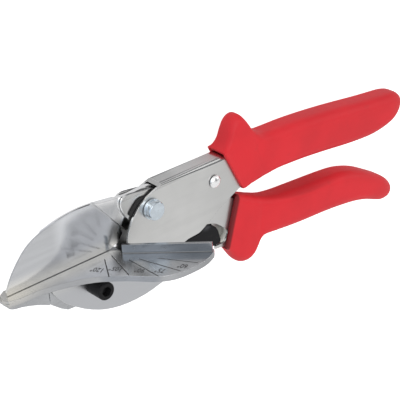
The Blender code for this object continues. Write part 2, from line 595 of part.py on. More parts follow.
def make_mitre_table():
    piece = finished(plate(slab_outline(), SLAB_FOOT, TABLE_FACE, upright=True), "mitre_table", CAST)
    rounded(piece, SLAB_EDGE, 1, 60)
    inside = TABLE_FACE - SLAB_THICKNESS / 2
    tongue = ([(TONGUE_SHARES[0][0] * JAW_LENGTH, inside)] + curve_through(jaw(TONGUE_SHARES), 2)
              + [(SLAB_END_SHARE * JAW_LENGTH, TONGUE_SHARES[-1][1] * HEAD_HEIGHT),
                 (SLAB_END_SHARE * JAW_LENGTH - GAP, inside)])
    half = OUTER_HALF - GAP
    fuse(piece, plate(tongue, MIDDLE - half, MIDDLE + half))
    nose = curve_through(jaw(NOSE_FOOT_SHARES), 2)
    nose_top = [(nose[-1][0], inside), (nose[0][0], inside)]
    nose_block = plate(nose + nose_top, OUTER_BACK + GAP, OUTER_FRONT)
    bmesh.ops.bevel(nose_block, geom=[e for e in nose_block.edges if e.calc_length() < OVERRUN],
                    offset=NOSE_BEVEL, segments=2, profile=0.5, affect="EDGES", material=-1)
    fuse(piece, nose_block)
    start, along, back = fence_frame()
    corners = [start, start + along * FENCE_LENGTH, start + along * FENCE_LENGTH
               + back * FENCE_THICKNESS, start + back * FENCE_THICKNESS]
    fuse(piece, plate([tuple(c) for c in corners], inside, TABLE_FACE + FENCE_HEIGHT, upright=True))
    for degrees, x, z, length in GAUGE_LINES_SHARES:
        middle = Vector(table(((x, z),))[0])
        run = Vector((-math.cos(math.radians(degrees)), math.sin(math.radians(degrees))))
        side = Vector((run.y, -run.x)) * GROOVE_WIDTH / 2
        reach = run * length * TABLE_DEPTH / 2
        groove = [middle - reach - side, middle + reach - side, middle + reach + side,
                  middle - reach + side]
        cut(piece, plate([tuple(c) for c in groove], TABLE_FACE - GROOVE_DEPTH,
                         TABLE_FACE + GROOVE_DEPTH, upright=True))
    cut(piece, round_cutter(jaw((TABLE_SCREW_SHARES,))[0], SCREW_RADIUS + GAP))


def make_pivot():
    top = OUTER_FRONT + GAP + BOLT_HEAD_HEIGHT
    collar = OUTER_FRONT + GAP + BOLT_COLLAR_HEIGHT
    neck = BOLT_HEAD_RADIUS - BOLT_CHAMFER
    finished(turned([(0, 0), (BOLT_RADIUS, 0), (BOLT_RADIUS, OUTER_FRONT + GAP),
                     (BOLT_HEAD_RADIUS, OUTER_FRONT + GAP), (BOLT_HEAD_RADIUS, collar),
                     (neck, collar), (neck, top - BOLT_CHAMFER), (neck - BOLT_CHAMFER, top),
                     (0, top)], (0, 0)), "pivot_bolt", ZINC)
    nut = finished(plate(hexagon(NUT_WIDTH, (0, 0), math.pi / 6), 0, OUTER_BACK - GAP),
                   "pivot_nut", ZINC, smooth=20)
    cut(nut, round_cutter((0, 0), BOLT_RADIUS + NUT_CLEARANCE, -OVERRUN, OUTER_BACK))
    for name, low in (("front_spacer", MIDDLE + SPACER_HALF),
                      ("rear_spacer", MIDDLE - SPACER_HALF - SPACER_THICKNESS)):
        sheet = finished(plate(ring_through(head(SPACER_SHARES)), low, low + SPACER_THICKNESS),
                         name, BLACK)
        cut(sheet, round_cutter((0, 0), BOLT_RADIUS + GAP))


def make_table_screw():
    place = jaw((TABLE_SCREW_SHARES,))[0]
    seat = OUTER_FRONT + GAP
    top = seat + SCREW_HEAD_HEIGHT
    rim = SCREW_HEAD_RADIUS - SCREW_CHAMFER
    screw = finished(turned([(0, SCREW_NUT_LIFT), (SCREW_RADIUS, SCREW_NUT_LIFT),
                             (SCREW_RADIUS, seat), (SCREW_HEAD_RADIUS, seat),
                             (SCREW_HEAD_RADIUS, top - SCREW_CHAMFER), (rim, top), (0, top)],
                            place), "table_screw", BLACK)
    cut(screw, plate(hexagon(SOCKET_WIDTH, place), top - SOCKET_DEPTH, top + OVERRUN))
    nut = finished(plate(hexagon(SCREW_NUT_WIDTH, place), SCREW_NUT_LIFT, OUTER_BACK - GAP),
                   "table_nut", ZINC, smooth=20)
    cut(nut, round_cutter(place, SCREW_RADIUS + NUT_CLEARANCE, -OVERRUN, OUTER_BACK))


def dome(radius, seat, height, steps=5):
    """(radius, z) points from the rim of a domed head to its crown."""
    return [(radius * math.cos(step / steps * math.pi / 2),
             seat + height * math.sin(step / steps * math.pi / 2)) for step in range(steps + 1)]


def make_catch_rivet():
    front = OUTER_FRONT + GAP
    back = OUTER_BACK - GAP
    rear_head = dome(CATCH_HEAD_RADIUS, back, -CATCH_BACK_DOME)[::-1]
    front_head = dome(CATCH_HEAD_RADIUS, front, CATCH_DOME)
    profile = rear_head + [(CATCH_RADIUS, back), (CATCH_RADIUS, front)] + front_head
    profile[0] = (0, profile[0][1])
    profile[-1] = (0, profile[-1][1])
    finished(turned(profile, head((CATCH_SHARES,))[0], 24), "catch_rivet", PLATED)


def flush_pin(place, radius, sides=20):
    """A pin through the lower channel's walls with a thin head on each side."""
    reach = INNER_HALF + WALL + GAP
    return turned([(0, MIDDLE - reach - FLUSH_HEAD), (FLUSH_HEAD_RADIUS, MIDDLE - reach - FLUSH_HEAD),
                   (FLUSH_HEAD_RADIUS, MIDDLE - reach), (radius, MIDDLE - reach),
                   (radius, MIDDLE + reach), (FLUSH_HEAD_RADIUS, MIDDLE + reach),
                   (FLUSH_HEAD_RADIUS, MIDDLE + reach + FLUSH_HEAD),
                   (0, MIDDLE + reach + FLUSH_HEAD)], place, sides)


def make_arm_fasteners(parent):
    pins = [("latch_pin", head((LATCH_SHARES,))[0], LATCH_PIN_RADIUS)]
    for number, place in enumerate(head(ARM_RIVET_SHARES), 1):
        pins.append((f"arm_rivet_{number}", place, FLUSH_RADIUS))
    for name, place, radius in pins:
        pin = finished(flush_pin(place, radius), name, PLATED)
        pin.parent = parent
    under = HOLDER_BACK - GAP
    tip = BLADE_FACE - BLADE_SCREW_FLOOR - GAP
    for number, place in enumerate(jaw(BLADE_SCREW_SHARES), 1):
        screw = finished(turned([(0, under - BLADE_SCREW_HEAD),
                                 (BLADE_SCREW_HEAD_RADIUS, under - BLADE_SCREW_HEAD),
                                 (BLADE_SCREW_HEAD_RADIUS, under), (BLADE_SCREW_RADIUS, under),
                                 (BLADE_SCREW_RADIUS, tip), (0, tip)], place, 20),
                         f"blade_screw_{number}", ZINC)
        screw.parent = parent


def make_latch(parent):
    """The lever in its own frame, whose origin is the latch pin."""
    low = MIDDLE - ARM_THICKNESS / 2
    high = MIDDLE + ARM_THICKNESS / 2
    hook = turned_by(head(HOOK_SHARES), LATCH_SWING)
    outline = hook + head(NECK_SHARES)
    lever = finished(plate(outline, low, high), "latch_lever", BLACK)
    lever.parent = parent
    face = MIDDLE + INNER_HALF + WALL + LATCH_FRONT_RISE
    thumb = plate(ring_through(head(THUMB_SHARES)), low + GAP / 3, face)
    rim = [e for e in thumb.edges if min(v.co.z for v in e.verts) > face - GAP / 3]
    bmesh.ops.bevel(thumb, geom=rim, offset=THUMB_BEVEL, segments=1, profile=0.5,
                    affect="EDGES", material=-1)
    fuse(lever, thumb)
    cut(lever, round_cutter((0, 0), LATCH_PIN_RADIUS + GAP))


def spring_ends():
    """y of the spring's lower and upper ends."""
    low = SEAT_EDGE_SHARE * HEAD_HEIGHT + GAP + SEAT_THICKNESS + GAP
    high = WEB_SHARE * HEAD_HEIGHT - WALL - GAP - SEAT_THICKNESS - GAP
    return low, high


def upright_pin(radius, centre, low, high, sides=16):
    """A bmesh cylinder along Y."""
    bm = turned([(0, low), (radius, low), (radius, high), (0, high)], (0, 0), sides)
    bmesh.ops.rotate(bm, verts=bm.verts, cent=(0, 0, 0), matrix=Matrix.Rotation(-math.pi / 2, 3, "X"))
    bmesh.ops.translate(bm, verts=bm.verts, vec=(centre[0], 0, centre[1]))
    return bm


def make_spring_seats(parent):
    low, high = spring_ends()
    axis = SPRING_SHARE * HEAD_LENGTH
    half = OUTER_HALF - GAP
    left = axis - SEAT_LENGTH / 2
    right = axis + SEAT_LENGTH / 2
    upper = finished(plate([(left, high + GAP), (right, high + GAP),
                            (right, high + GAP + SEAT_THICKNESS),
                            (left, high + GAP + SEAT_THICKNESS)], MIDDLE - half, MIDDLE + half),
                     "upper_spring_seat", BLACK)
    fuse(upper, upright_pin(SEAT_PEG_RADIUS, (axis, MIDDLE), high + GAP - SEAT_PEG_HEIGHT,
                            high + GAP + SEAT_THICKNESS / 2))
    top = low - GAP
    lower = finished(plate([(left, top - SEAT_THICKNESS), (right, top - SEAT_THICKNESS),
                            (right, top), (left, top)], MIDDLE - half, MIDDLE + half),
                     "lower_spring_seat", BLACK)
    lower.parent = parent
    fuse(lower, upright_pin(SEAT_PEG_RADIUS, (axis, MIDDLE), top - SEAT_THICKNESS / 2,
                            top + SEAT_PEG_HEIGHT))
    keel = SEAT_KEEL_LENGTH / 2
    fuse(lower, plate([(axis - keel, top - SEAT_THICKNESS - SEAT_KEEL_DEPTH),
                       (axis + keel, top - SEAT_THICKNESS - SEAT_KEEL_DEPTH),
                       (axis + keel, top - SEAT_THICKNESS / 2),
                       (axis - keel, top - SEAT_THICKNESS / 2)], ARM_BACK, ARM_FRONT))


def make_opening_spring():
    """A compression coil along Y, as one tube on a helix."""
    low, high = spring_ends()
    low += SPRING_WIRE / 2
    high -= SPRING_WIRE / 2
    count = int(SPRING_TURNS * SPRING_POINTS) + 1
    points = []
    for step in range(count):
        turn = step / (count - 1) * SPRING_TURNS * math.tau
        points.append(Vector((SPRING_SHARE * HEAD_LENGTH + SPRING_RADIUS * math.cos(turn),
                              low + (high - low) * step / (count - 1),
                              MIDDLE + SPRING_RADIUS * math.sin(turn))))
    curve = bpy.data.curves.new("opening_spring", "CURVE")
    curve.dimensions = "3D"
    spline = curve.splines.new("POLY")
    spline.points.add(count - 1)
    for point, place in zip(spline.points, points):
        point.co = (*place, 1)
    curve.bevel_depth = SPRING_WIRE / 2
    curve.bevel_resolution = 1
    curve.use_fill_caps = True
    coil = bpy.data.objects.new("opening_spring", curve)
    bpy.context.scene.collection.objects.link(coil)
    curve.materials.append(material("opening_spring", *SPRING_STEEL))
    least = min((a - b).length for i, a in enumerate(points)
                for b in points[i + SPRING_POINTS // 2:])
    print("least gap between the spring's curls, mm:", round((least - SPRING_WIRE) * 1000, 2))


def hinge_empty(name, place):
    empty = bpy.data.objects.new(name, None)
    empty.location = place
    bpy.context.scene.collection.objects.link(empty)
    return empty


def main():
    for item in list(bpy.data.objects):
        bpy.data.objects.remove(item, do_unlink=True)
    pivot = hinge_empty("handle_pivot", (0, 0, 0))
    latch_axis = hinge_empty("latch_pivot", (*head((LATCH_SHARES,))[0], 0))
    make_upper_channel()
    make_upper_grip()
    make_mitre_table()
    make_table_screw()
    make_pivot()
    make_catch_rivet()
    make_opening_spring()
    make_spring_seats(pivot)
    make_lower_channel(pivot)
    make_lower_grip(pivot)
    make_blade_arm(pivot)
    make_cutting_blade(pivot)
    make_arm_fasteners(pivot)
    make_latch(latch_axis)


main()
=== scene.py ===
"""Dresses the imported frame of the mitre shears: finer pieces, finishes, a floor, lights and a
camera."""
import math

import bmesh
import bpy
from mathutils import Matrix, Vector


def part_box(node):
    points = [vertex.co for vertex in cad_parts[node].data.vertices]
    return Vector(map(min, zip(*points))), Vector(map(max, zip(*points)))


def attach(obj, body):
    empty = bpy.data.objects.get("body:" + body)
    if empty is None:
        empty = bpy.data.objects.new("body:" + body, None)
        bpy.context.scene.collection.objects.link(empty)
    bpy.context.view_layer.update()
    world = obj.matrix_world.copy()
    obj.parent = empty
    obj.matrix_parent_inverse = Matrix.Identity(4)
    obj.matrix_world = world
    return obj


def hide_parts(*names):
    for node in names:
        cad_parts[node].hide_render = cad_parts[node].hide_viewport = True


bl_info = {
    "name": "Mitre shears",
    "version": (1, 0, 0),
    "blender": (4, 5, 0),
    "location": "3D View > Sidebar > Shears",
    "description": "Dresses the frame of a pair of mitre shears",
    "category": "Object",
}

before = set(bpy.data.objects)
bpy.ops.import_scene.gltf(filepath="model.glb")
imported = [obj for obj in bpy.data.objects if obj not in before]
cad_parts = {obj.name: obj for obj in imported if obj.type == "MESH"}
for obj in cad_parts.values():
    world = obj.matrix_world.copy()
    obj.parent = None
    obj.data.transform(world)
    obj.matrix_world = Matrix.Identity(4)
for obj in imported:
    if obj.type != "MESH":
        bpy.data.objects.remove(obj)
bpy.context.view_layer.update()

MM = 0.001
MERGE = 0.01 * MM               # corners closer than this are one
FLAT = math.radians(0.6)        # faces that meet flatter than this are one
HEX_HALF = math.radians(30)     # half the angle between a nut's corners, also its chamfer's

# The shears' main places, read from the frame
SPRING_LOW, SPRING_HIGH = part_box("opening_spring")
HEAD_LENGTH = 50 * MM
GRIP_LENGTH = 100 * MM
HEAD_HEIGHT = 50 * MM
GRIP_THICKNESS = 14 * MM
MIDDLE = GRIP_THICKNESS / 2
TABLE_FACE = -12.5 * MM
BLADE_FACE = 7.7 * MM           # where the table's gauge lines are measured from
JAW_LENGTH = 75 * MM
TABLE_DEPTH = 36 * MM
SHEET = 1.0 * MM

# Sections of each grip from its lip to its end: x and y of the top, x and y of the bottom, half
# the thickness at both, and the radius of the corners, as shares of the grip's sizes
UPPER_STATIONS = (
    (-0.107, 0.218, -0.020, -0.182, 0.44, 0.44, 0.11),
    (-0.087, 0.242, -0.011, -0.195, 0.40, 0.44, 0.16),
    (-0.066, 0.300, 0.002, -0.200, 0.37, 0.45, 0.21),
    (-0.051, 0.380, 0.017, -0.200, 0.36, 0.46, 0.27),
    (-0.034, 0.446, 0.032, -0.196, 0.35, 0.46, 0.30),
    (-0.011, 0.478, 0.047, -0.191, 0.36, 0.47, 0.31),
    (0.014, 0.474, 0.067, -0.184, 0.37, 0.48, 0.31),
    (0.036, 0.420, 0.087, -0.176, 0.39, 0.49, 0.31),
    (0.060, 0.334, 0.107, -0.170, 0.41, 0.49, 0.31),
    (0.091, 0.268, 0.130, -0.165, 0.45, 0.50, 0.31),
    (0.127, 0.230, 0.157, -0.161, 0.48, 0.50, 0.32),
    (0.183, 0.219, 0.197, -0.158, 0.50, 0.50, 0.32),
    (0.275, 0.213, 0.275, -0.165, 0.50, 0.50, 0.32),
    (0.369, 0.200, 0.364, -0.177, 0.50, 0.50, 0.32),
    (0.487, 0.177, 0.485, -0.202, 0.50, 0.50, 0.32),
    (0.607, 0.147, 0.607, -0.231, 0.50, 0.50, 0.32),
    (0.730, 0.113, 0.729, -0.248, 0.50, 0.50, 0.32),
    (0.815, 0.093, 0.809, -0.236, 0.50, 0.50, 0.32),
    (0.880, 0.080, 0.865, -0.213, 0.49, 0.49, 0.32),
    (0.916, 0.066, 0.900, -0.186, 0.46, 0.46, 0.32),
    (0.938, 0.044, 0.923, -0.152, 0.41, 0.41, 0.31),
    (0.951, 0.014, 0.942, -0.106, 0.33, 0.33, 0.29),
    (0.956, -0.018, 0.954, -0.070, 0.21, 0.21, 0.19))
LOWER_STATIONS = (
    (-0.044, -0.238, -0.122, -0.708, 0.31, 0.30, 0.08),
    (-0.033, -0.246, -0.104, -0.742, 0.32, 0.29, 0.14),
    (-0.013, -0.264, -0.088, -0.800, 0.34, 0.29, 0.22),
    (0.007, -0.282, -0.070, -0.862, 0.36, 0.30, 0.28),
    (0.027, -0.300, -0.040, -0.916, 0.38, 0.32, 0.30),
    (0.047, -0.320, -0.004, -0.930, 0.39, 0.34, 0.31),
    (0.067, -0.338, 0.026, -0.904, 0.41, 0.35, 0.31),
    (0.087, -0.356, 0.045, -0.846, 0.41, 0.37, 0.31),
    (0.113, -0.377, 0.059, -0.786, 0.43, 0.40, 0.31),
    (0.144, -0.396, 0.088, -0.750, 0.45, 0.43, 0.32),
    (0.204, -0.419, 0.141, -0.752, 0.48, 0.46, 0.32),
    (0.264, -0.430, 0.223, -0.765, 0.49, 0.49, 0.32),
    (0.354, -0.444, 0.313, -0.777, 0.50, 0.50, 0.32),
    (0.445, -0.456, 0.404, -0.785, 0.50, 0.50, 0.32),
    (0.536, -0.472, 0.485, -0.796, 0.50, 0.50, 0.32),
    (0.594, -0.491, 0.547, -0.809, 0.50, 0.50, 0.32),
    (0.651, -0.526, 0.602, -0.823, 0.50, 0.50, 0.32),
    (0.707, -0.576, 0.658, -0.844, 0.50, 0.50, 0.32),
    (0.767, -0.646, 0.715, -0.880, 0.49, 0.49, 0.32),
    (0.818, -0.710, 0.769, -0.928, 0.47, 0.47, 0.32),
    (0.852, -0.768, 0.806, -0.958, 0.43, 0.43, 0.31),
    (0.874, -0.818, 0.839, -0.966, 0.36, 0.36, 0.29),
    (0.884, -0.872, 0.866, -0.946, 0.23, 0.23, 0.12))
LOWER_LIP_BOW = -0.012
LOWER_LIP_LINE = (49.1 * MM, 0.332)     # where the lip's line meets y = 0, and its slope
# Where the waist line ends, its height there, how far it rises and over what length
LOWER_WAIST_LINE = (105 * MM, -25.4 * MM, 13 * MM, 57 * MM)
BOW_STATIONS = 6
# The lower channel's arch beside the latch: its rear end, and the walls' inner faces
ARCH_END = ((0.796, -0.541), (0.805, -0.562), (0.799, -0.602), (0.772, -0.636), (0.734, -0.648))
LIP_LOW = 5.6 * MM
LIP_HIGH = 8.4 * MM
LIP_SHEET = 0.3 * MM
SPRING_TURNS = 5.5

# Numbers by the gauge lines: degrees, x and z of the middle in millimetres
GAUGE_NUMBERS = ((120, -33.5, 16.8), (105, -27.9, 21.8), (90, -22.0, 29.9), (75, -16.5, 36.0),
                 (60, -8.0, 39.9))
READING_ANGLE = math.radians(240)   # from +X towards +Z
# The gauge lines: degrees, x and z of the middle, and the length, as shares of the jaw and table
GAUGE_LINES = ((60, -0.399, 0.296, 0.40), (75, -0.333, 0.363, 0.51), (90, -0.264, 0.607, 0.54),
               (105, -0.185, 0.686, 0.58), (120, -0.087, 0.760, 0.48))
FENCE_START = (-0.245, 0.164)
FENCE_LENGTH = 37 * MM
FENCE_ANGLE = math.radians(45)

# Small reliefs and roundings
FILL_SUNK = 0.08 * MM           # top of the gauge lines' fill, under the table's face
FILL_DEPTH = 0.1 * MM
NUMBER_DEPTH = 0.02 * MM        # half the numbers' thickness
NUMBER_BOLD = 0.03 * MM         # how much fatter their strokes are
NUMBER_RISE = 0.01 * MM         # from the table's face to the numbers' middle
COVE_SUNK = 0.05 * MM           # how far the fillet runs into the table and the fence
COVE_START = 0.2 * MM           # from the fence's end to the fillet's
COVE_SHORTER = 0.6 * MM         # how much shorter than the fence the fillet is
BLADE_EDGE = 0.18 * MM
ARM_EDGE = 0.3 * MM
EDGE_SEGMENTS = 3
EDGE_ANGLE = math.radians(28)   # sharper edges than this are rounded
SHARP_ANGLE = 40                # in degrees, shading is split along sharper edges
NUT_FACE_SHARE = 0.97           # the turned face of a nut, of its width across the flats
CHAMFER_SLOPE = 0.577           # rise over run of the turned chamfer
ROUND_SHARE = 0.98              # the most of a grip section's half that its corners take up

# Where a change of a finish starts and ends, along X
# Painted shade on the plates: on the jaw plates, towards the grips and on the web's front
JAW_END = (0, 10 * MM)
PLATE_TAIL = (18 * MM, 40 * MM)
PLATE_FRONT = (8 * MM, 20 * MM)
BLADE_ROOT = (-48 * MM, -40 * MM)
# Painted warm light on the table's nose, painted shade towards its end
TABLE_NOSE = (-74 * MM, -50 * MM)
TABLE_END = (-9 * MM, 3 * MM)
# Painted highlight along the table's edge
TABLE_EDGE_HIGHLIGHT = (-36 * MM, -27 * MM)
WAIST_END = (85 * MM, 110 * MM)
# The same along Y, and for the fence's foot how soft both ends are; these bound painted shade on
# the jaw plates and the fence's foot, and painted warm light low on the blade and on the table's
# nose
JAW_PLATES = (-22 * MM, -14 * MM)
PLATE_BEND = (6.6 * MM, 8.0 * MM)
BLADE_LOW = (-11.5 * MM, -5.0 * MM)
TABLE_TOP = (-16.5 * MM, -13.0 * MM)
FENCE_FOOT_SHADE = (-12.44 * MM, -12.0 * MM, 0.04 * MM)
# The same across the lower grip's lip line and waist line, which bound painted shade, and outwards
# from two places
LIP_SHADE = (1.4 * MM, 2.8 * MM)
WAIST_SHADE = (-0.8 * MM, 0.8 * MM)
ROOT_SHADE_PLACE = (-13.6 * MM, -6.2 * MM, 0)    # the painted shade by the blade's root
ROOT_SHADE_REACH = (2.6 * MM, 8.4 * MM)
LATCH_SHEEN_PLACE = (28.6 * MM, -19.9 * MM, 10.0 * MM)  # the painted sheen on the latch's top
LATCH_SHEEN_REACH = (0.8 * MM, 3.6 * MM)

# Colours beside the panel's own
GRIP_DIRT = (0.25, 0.04, 0.04)
# Painted shade inside the lower grip's lip
GRIP_LIP_PAINTED_SHADE = (0.20, 0.006, 0.009)
# Painted cool shade on the jaw plates under the table
JAW_PAINTED_SHADE = (0.565, 0.575, 0.60)
# Painted warm light low on the blade
BLADE_PAINTED_WARM_LIGHT = (1.0, 0.975, 0.91)
# Painted shade by the blade's root
ROOT_PAINTED_SHADE = (0.15, 0.15, 0.148)
# Painted warm light on the table's nose
NOSE_PAINTED_LIGHT = (0.70, 0.685, 0.65)
CAST_EDGE = (0.20, 0.20, 0.205)
# Painted highlight along the table's edge
CAST_EDGE_HIGHLIGHT = (0.85, 0.86, 0.87)
RAINBOW = (0.66, 0.64, 0.58)
BLACK_RUBBED = (0.06, 0.055, 0.05)
# Painted sheen on the latch's top
BLACK_PAINTED_SHEEN = (0.085, 0.085, 0.095)
WHITE = (1.0, 1.0, 1.0)
BENCH_GLOW = (0.25, 0.25, 0.255)    # what the bench sends back to the shears
ROOM_GAP = (0.16, 0.165, 0.175)     # the dark gaps between the soft boxes
ROOM_LIGHT = (1.25, 1.25, 1.26)     # the brightest soft box
ROOM_LOW_SIDE = (0.80, 0.83, 0.88)  # the room beside the jaw, towards the handles
ROOM_COOL_SIDE = (0.92, 1.02, 1.14)  # the window beside the jaw

# The stage
BENCH_DROP = 0.2 * MM           # from the shears' back to the bench
KEY_PLACE = (-0.35, 0.55, 1.1)
KEY_SIZE = 0.7
SIDE_PLACE = (0.9, 0.2, 0.7)
SIDE_SIZE = 0.5
SIDE_SHARE = 0.35               # of the key lamp's power
LAMP_AIM = (0.03, 0, 0)
CAMERA_PLACE = (-0.3618, 0.3268, 0.5184)
CAMERA_RIGHT = (0.7674, -0.0772, 0.6365)
CAMERA_BACK = (-0.5380, 0.4626, 0.7047)


class ShearsSizes(bpy.types.PropertyGroup):
    sheet_edge: bpy.props.FloatProperty(
        name="Sheet edge", description="Rounding on the cut edges of the pressed sheets",
        default=0.00022, unit="LENGTH")
    cast_edge: bpy.props.FloatProperty(
        name="Cast edge", description="Rounding on the table's edges",
        default=0.0002, unit="LENGTH")
    small_edge: bpy.props.FloatProperty(
        name="Small edge", description="Rounding on the fasteners' edges",
        default=0.00012, unit="LENGTH")
    grip_steps: bpy.props.IntProperty(
        name="Grip steps", description="Sections between two stations of a grip", default=3)
    corner_steps: bpy.props.IntProperty(
        name="Corner steps", description="Faces round each corner of a grip's section", default=7)
    lip_wall: bpy.props.FloatProperty(
        name="Lip wall", description="Thickness of the grips' open end", default=0.0016,
        unit="LENGTH")
    number_height: bpy.props.FloatProperty(
        name="Number height", description="Height of the gauge numbers", default=0.0030,
        unit="LENGTH")
    number_stretch: bpy.props.FloatProperty(
        name="Number stretch", description="How much taller than usual the gauge numbers are",
        default=1.5)
    spring_wire: bpy.props.FloatProperty(
        name="Spring wire", description="Thickness of the opening spring's wire", default=0.0008,
        unit="LENGTH")
    small_key: bpy.props.FloatProperty(
        name="Small key", description="Recess of the blade screws, from its middle to a corner",
        default=0.00125, unit="LENGTH")
    line_width: bpy.props.FloatProperty(
        name="Gauge line", description="Width of the gauge lines' dark fill", default=0.00038,
        unit="LENGTH")
    cove: bpy.props.FloatProperty(
        name="Cove", description="Radius of the fillet at the fence's foot", default=0.00045,
        unit="LENGTH")


class ShearsColours(bpy.types.PropertyGroup):
    grip: bpy.props.FloatVectorProperty(
        name="Grip", description="Moulded grips", default=(0.77, 0.022, 0.032), subtype="COLOR")
    plated: bpy.props.FloatVectorProperty(
        name="Plated steel", description="Pressed channels", default=(0.70, 0.70, 0.69),
        subtype="COLOR")
    polished: bpy.props.FloatVectorProperty(
        name="Polished steel", description="Blade and its arm", default=(0.62, 0.63, 0.65),
        subtype="COLOR")
    cast: bpy.props.FloatVectorProperty(
        name="Cast table", description="Mitre table", default=(0.495, 0.505, 0.52),
        subtype="COLOR")
    zinc: bpy.props.FloatVectorProperty(
        name="Zinc", description="Bolt, nuts and screws", default=(0.66, 0.73, 0.79),
        subtype="COLOR")
    black: bpy.props.FloatVectorProperty(
        name="Black", description="Latch, socket screw and slip sheets",
        default=(0.017, 0.017, 0.018), subtype="COLOR")
    wire: bpy.props.FloatVectorProperty(
        name="Wire", description="Opening spring", default=(0.36, 0.36, 0.37), subtype="COLOR")


class ShearsStage(bpy.types.PropertyGroup):
    floor_size: bpy.props.FloatProperty(
        name="Floor", description="Width of the floor", default=6.0, unit="LENGTH")
    lens: bpy.props.FloatProperty(
        name="Lens", description="Focal length in millimetres", default=154.35)
    sky: bpy.props.FloatProperty(
        name="Sky", description="Strength of the light from all round", default=0.80)
    key: bpy.props.FloatProperty(
        name="Key", description="Power of the main lamp", default=3.0, unit="POWER")


def sizes():
    return bpy.context.scene.shears_sizes


def colours():
    return bpy.context.scene.shears_colours


class Wire:
    """A socket of a finish that takes part in sums: each sum adds its Math node."""

    def __init__(self, finish, socket):
        self.finish = finish
        self.socket = socket

    def _sum(self, operation, first, second):
        return self.finish.node("ShaderNodeMath", {"operation": operation}, {0: first, 1: second})

    def __add__(self, other):
        return self._sum("ADD", self, other)

    def __radd__(self, other):
        return self._sum("ADD", other, self)

    def __sub__(self, other):
        return self._sum("SUBTRACT", self, other)

    def __rsub__(self, other):
        return self._sum("SUBTRACT", other, self)

    def __mul__(self, other):
        return self._sum("MULTIPLY", self, other)

    def __truediv__(self, other):
        return self._sum("DIVIDE", self, other)

    def __pow__(self, other):
        return self._sum("POWER", self, other)


class Nodes:
    """A node tree whose nodes are added one call at a time."""

    def __init__(self, tree):
        self.tree = tree

    def node(self, kind, settings=None, inputs=None, output=0):
        node = self.tree.nodes.new(kind)
        for setting, value in (settings or {}).items():
            setattr(node, setting, value)
        for socket, value in (inputs or {}).items():
            self.feed(node.inputs[socket], value)
        return Wire(self, node.outputs[output])

    def feed(self, socket, value):
        if isinstance(value, Wire):
            self.tree.links.new(value.socket, socket)
        elif isinstance(value, (tuple, list)) and len(value) == 3 and socket.type == "RGBA":
            socket.default_value = (*value, 1)
        else:
            socket.default_value = value

    def ramp(self, factor, low, high):
        """0 below low, 1 above high, smooth between."""
        return self.node("ShaderNodeMapRange", {"interpolation_type": "SMOOTHSTEP"},
                         {"Value": factor, "From Min": low, "From Max": high})

    def band(self, factor, low, high, soft):
        """1 between low and high, 0 outside, with soft flanks."""
        return self.ramp(factor, low - soft, low) * (1 - self.ramp(factor, high, high + soft))

    def mix(self, factor, first, second):
        node = self.tree.nodes.new("ShaderNodeMix")
        node.data_type = "RGBA"
        self.feed(node.inputs[0], factor)
        self.feed(node.inputs[6], first)
        self.feed(node.inputs[7], second)
        return Wire(self, node.outputs[2])


class Finish(Nodes):
    """A material built round one shader."""

    def __init__(self, name, roughness=0.5, metallic=0.0, specular=0.5):
        self.material = bpy.data.materials.new(name)
        self.material.use_nodes = True
        super().__init__(self.material.node_tree)
        self.shader = self.tree.nodes["Principled BSDF"]
        self.shader.inputs["Roughness"].default_value = roughness
        self.shader.inputs["Metallic"].default_value = metallic
        self.shader.inputs["Specular IOR Level"].default_value = specular

    def shade(self, **values):
        for socket, value in values.items():
            self.feed(self.shader.inputs[socket.replace("_", " ").title()], value)

    def place(self, scale=(1, 1, 1), turn=(0, 0, 0)):
        """Object coordinates, turned and then stretched."""
        coordinates = self.node("ShaderNodeTexCoord", output="Object")
        return self.node("ShaderNodeMapping", None,
                         {"Vector": coordinates, "Scale": scale, "Rotation": turn})

    def noise(self, scale, detail, place=None):
        return self.node("ShaderNodeTexNoise", None,
                         {"Vector": place or self.place(), "Scale": scale, "Detail": detail})

    def bump(self, height, distance, strength):
        return self.node("ShaderNodeBump", None,
                         {"Height": height, "Distance": distance, "Strength": strength})

    def axis(self, number):
        """One coordinate of the piece, in metres."""
        return self.node("ShaderNodeSeparateXYZ", None, {0: self.place()}, number)

    def away(self, place, scale=(1, 1, 1)):
        """The distance from a place, in metres."""
        return self.node("ShaderNodeVectorMath", {"operation": "DISTANCE"},
                         {0: self.place(scale=scale), 1: place}, "Value")


def tinted(colour, factor):
    return tuple(min(1.0, part * factor) for part in colour)


def grip_finish(name, lip, waist):
    """Soft vinyl: a satin red with faint mottling and a fine grain, with painted shade inside its
    lip, and above its waist line rougher, with painted shade on the top side."""
    finish = Finish(name, specular=0.35)
    x = finish.axis(0)
    y = finish.axis(1)
    colour = tuple(colours().grip)
    cloud = finish.ramp(finish.noise(45, 3), 0.3, 0.7)
    grain = finish.noise(2600, 2)
    dirt = finish.ramp(finish.noise(190, 4), 0.62, 0.8)
    base = finish.mix(cloud, tinted(colour, 0.93), tinted(colour, 1.06))
    base = finish.mix(dirt * 0.12, base, GRIP_DIRT)
    if lip:
        start, slope = lip
        past = x - y * slope - start
        # Painted shade inside the lip
        base = finish.mix(finish.ramp(past, *LIP_SHADE), GRIP_LIP_PAINTED_SHADE, base)
    dullness_and_painted_shade = 0
    if waist:
        end, low, drop, length = waist
        line = low + ((end - x) / length) ** 3 * drop
        dullness_and_painted_shade = finish.ramp(y - line, *WAIST_SHADE) * (1 - finish.ramp(x, *WAIST_END))
        # Above the waist line: rougher, and painted shade on the top side
        base = finish.mix(dullness_and_painted_shade * 0.5, base, tinted(colour, 0.62))
    finish.shade(base_color=base, roughness=0.46 + cloud * 0.06 + grain * 0.05 + dullness_and_painted_shade * 0.1,
                 normal=finish.bump(grain, 0.03 * MM, 0.35))
    return finish.material


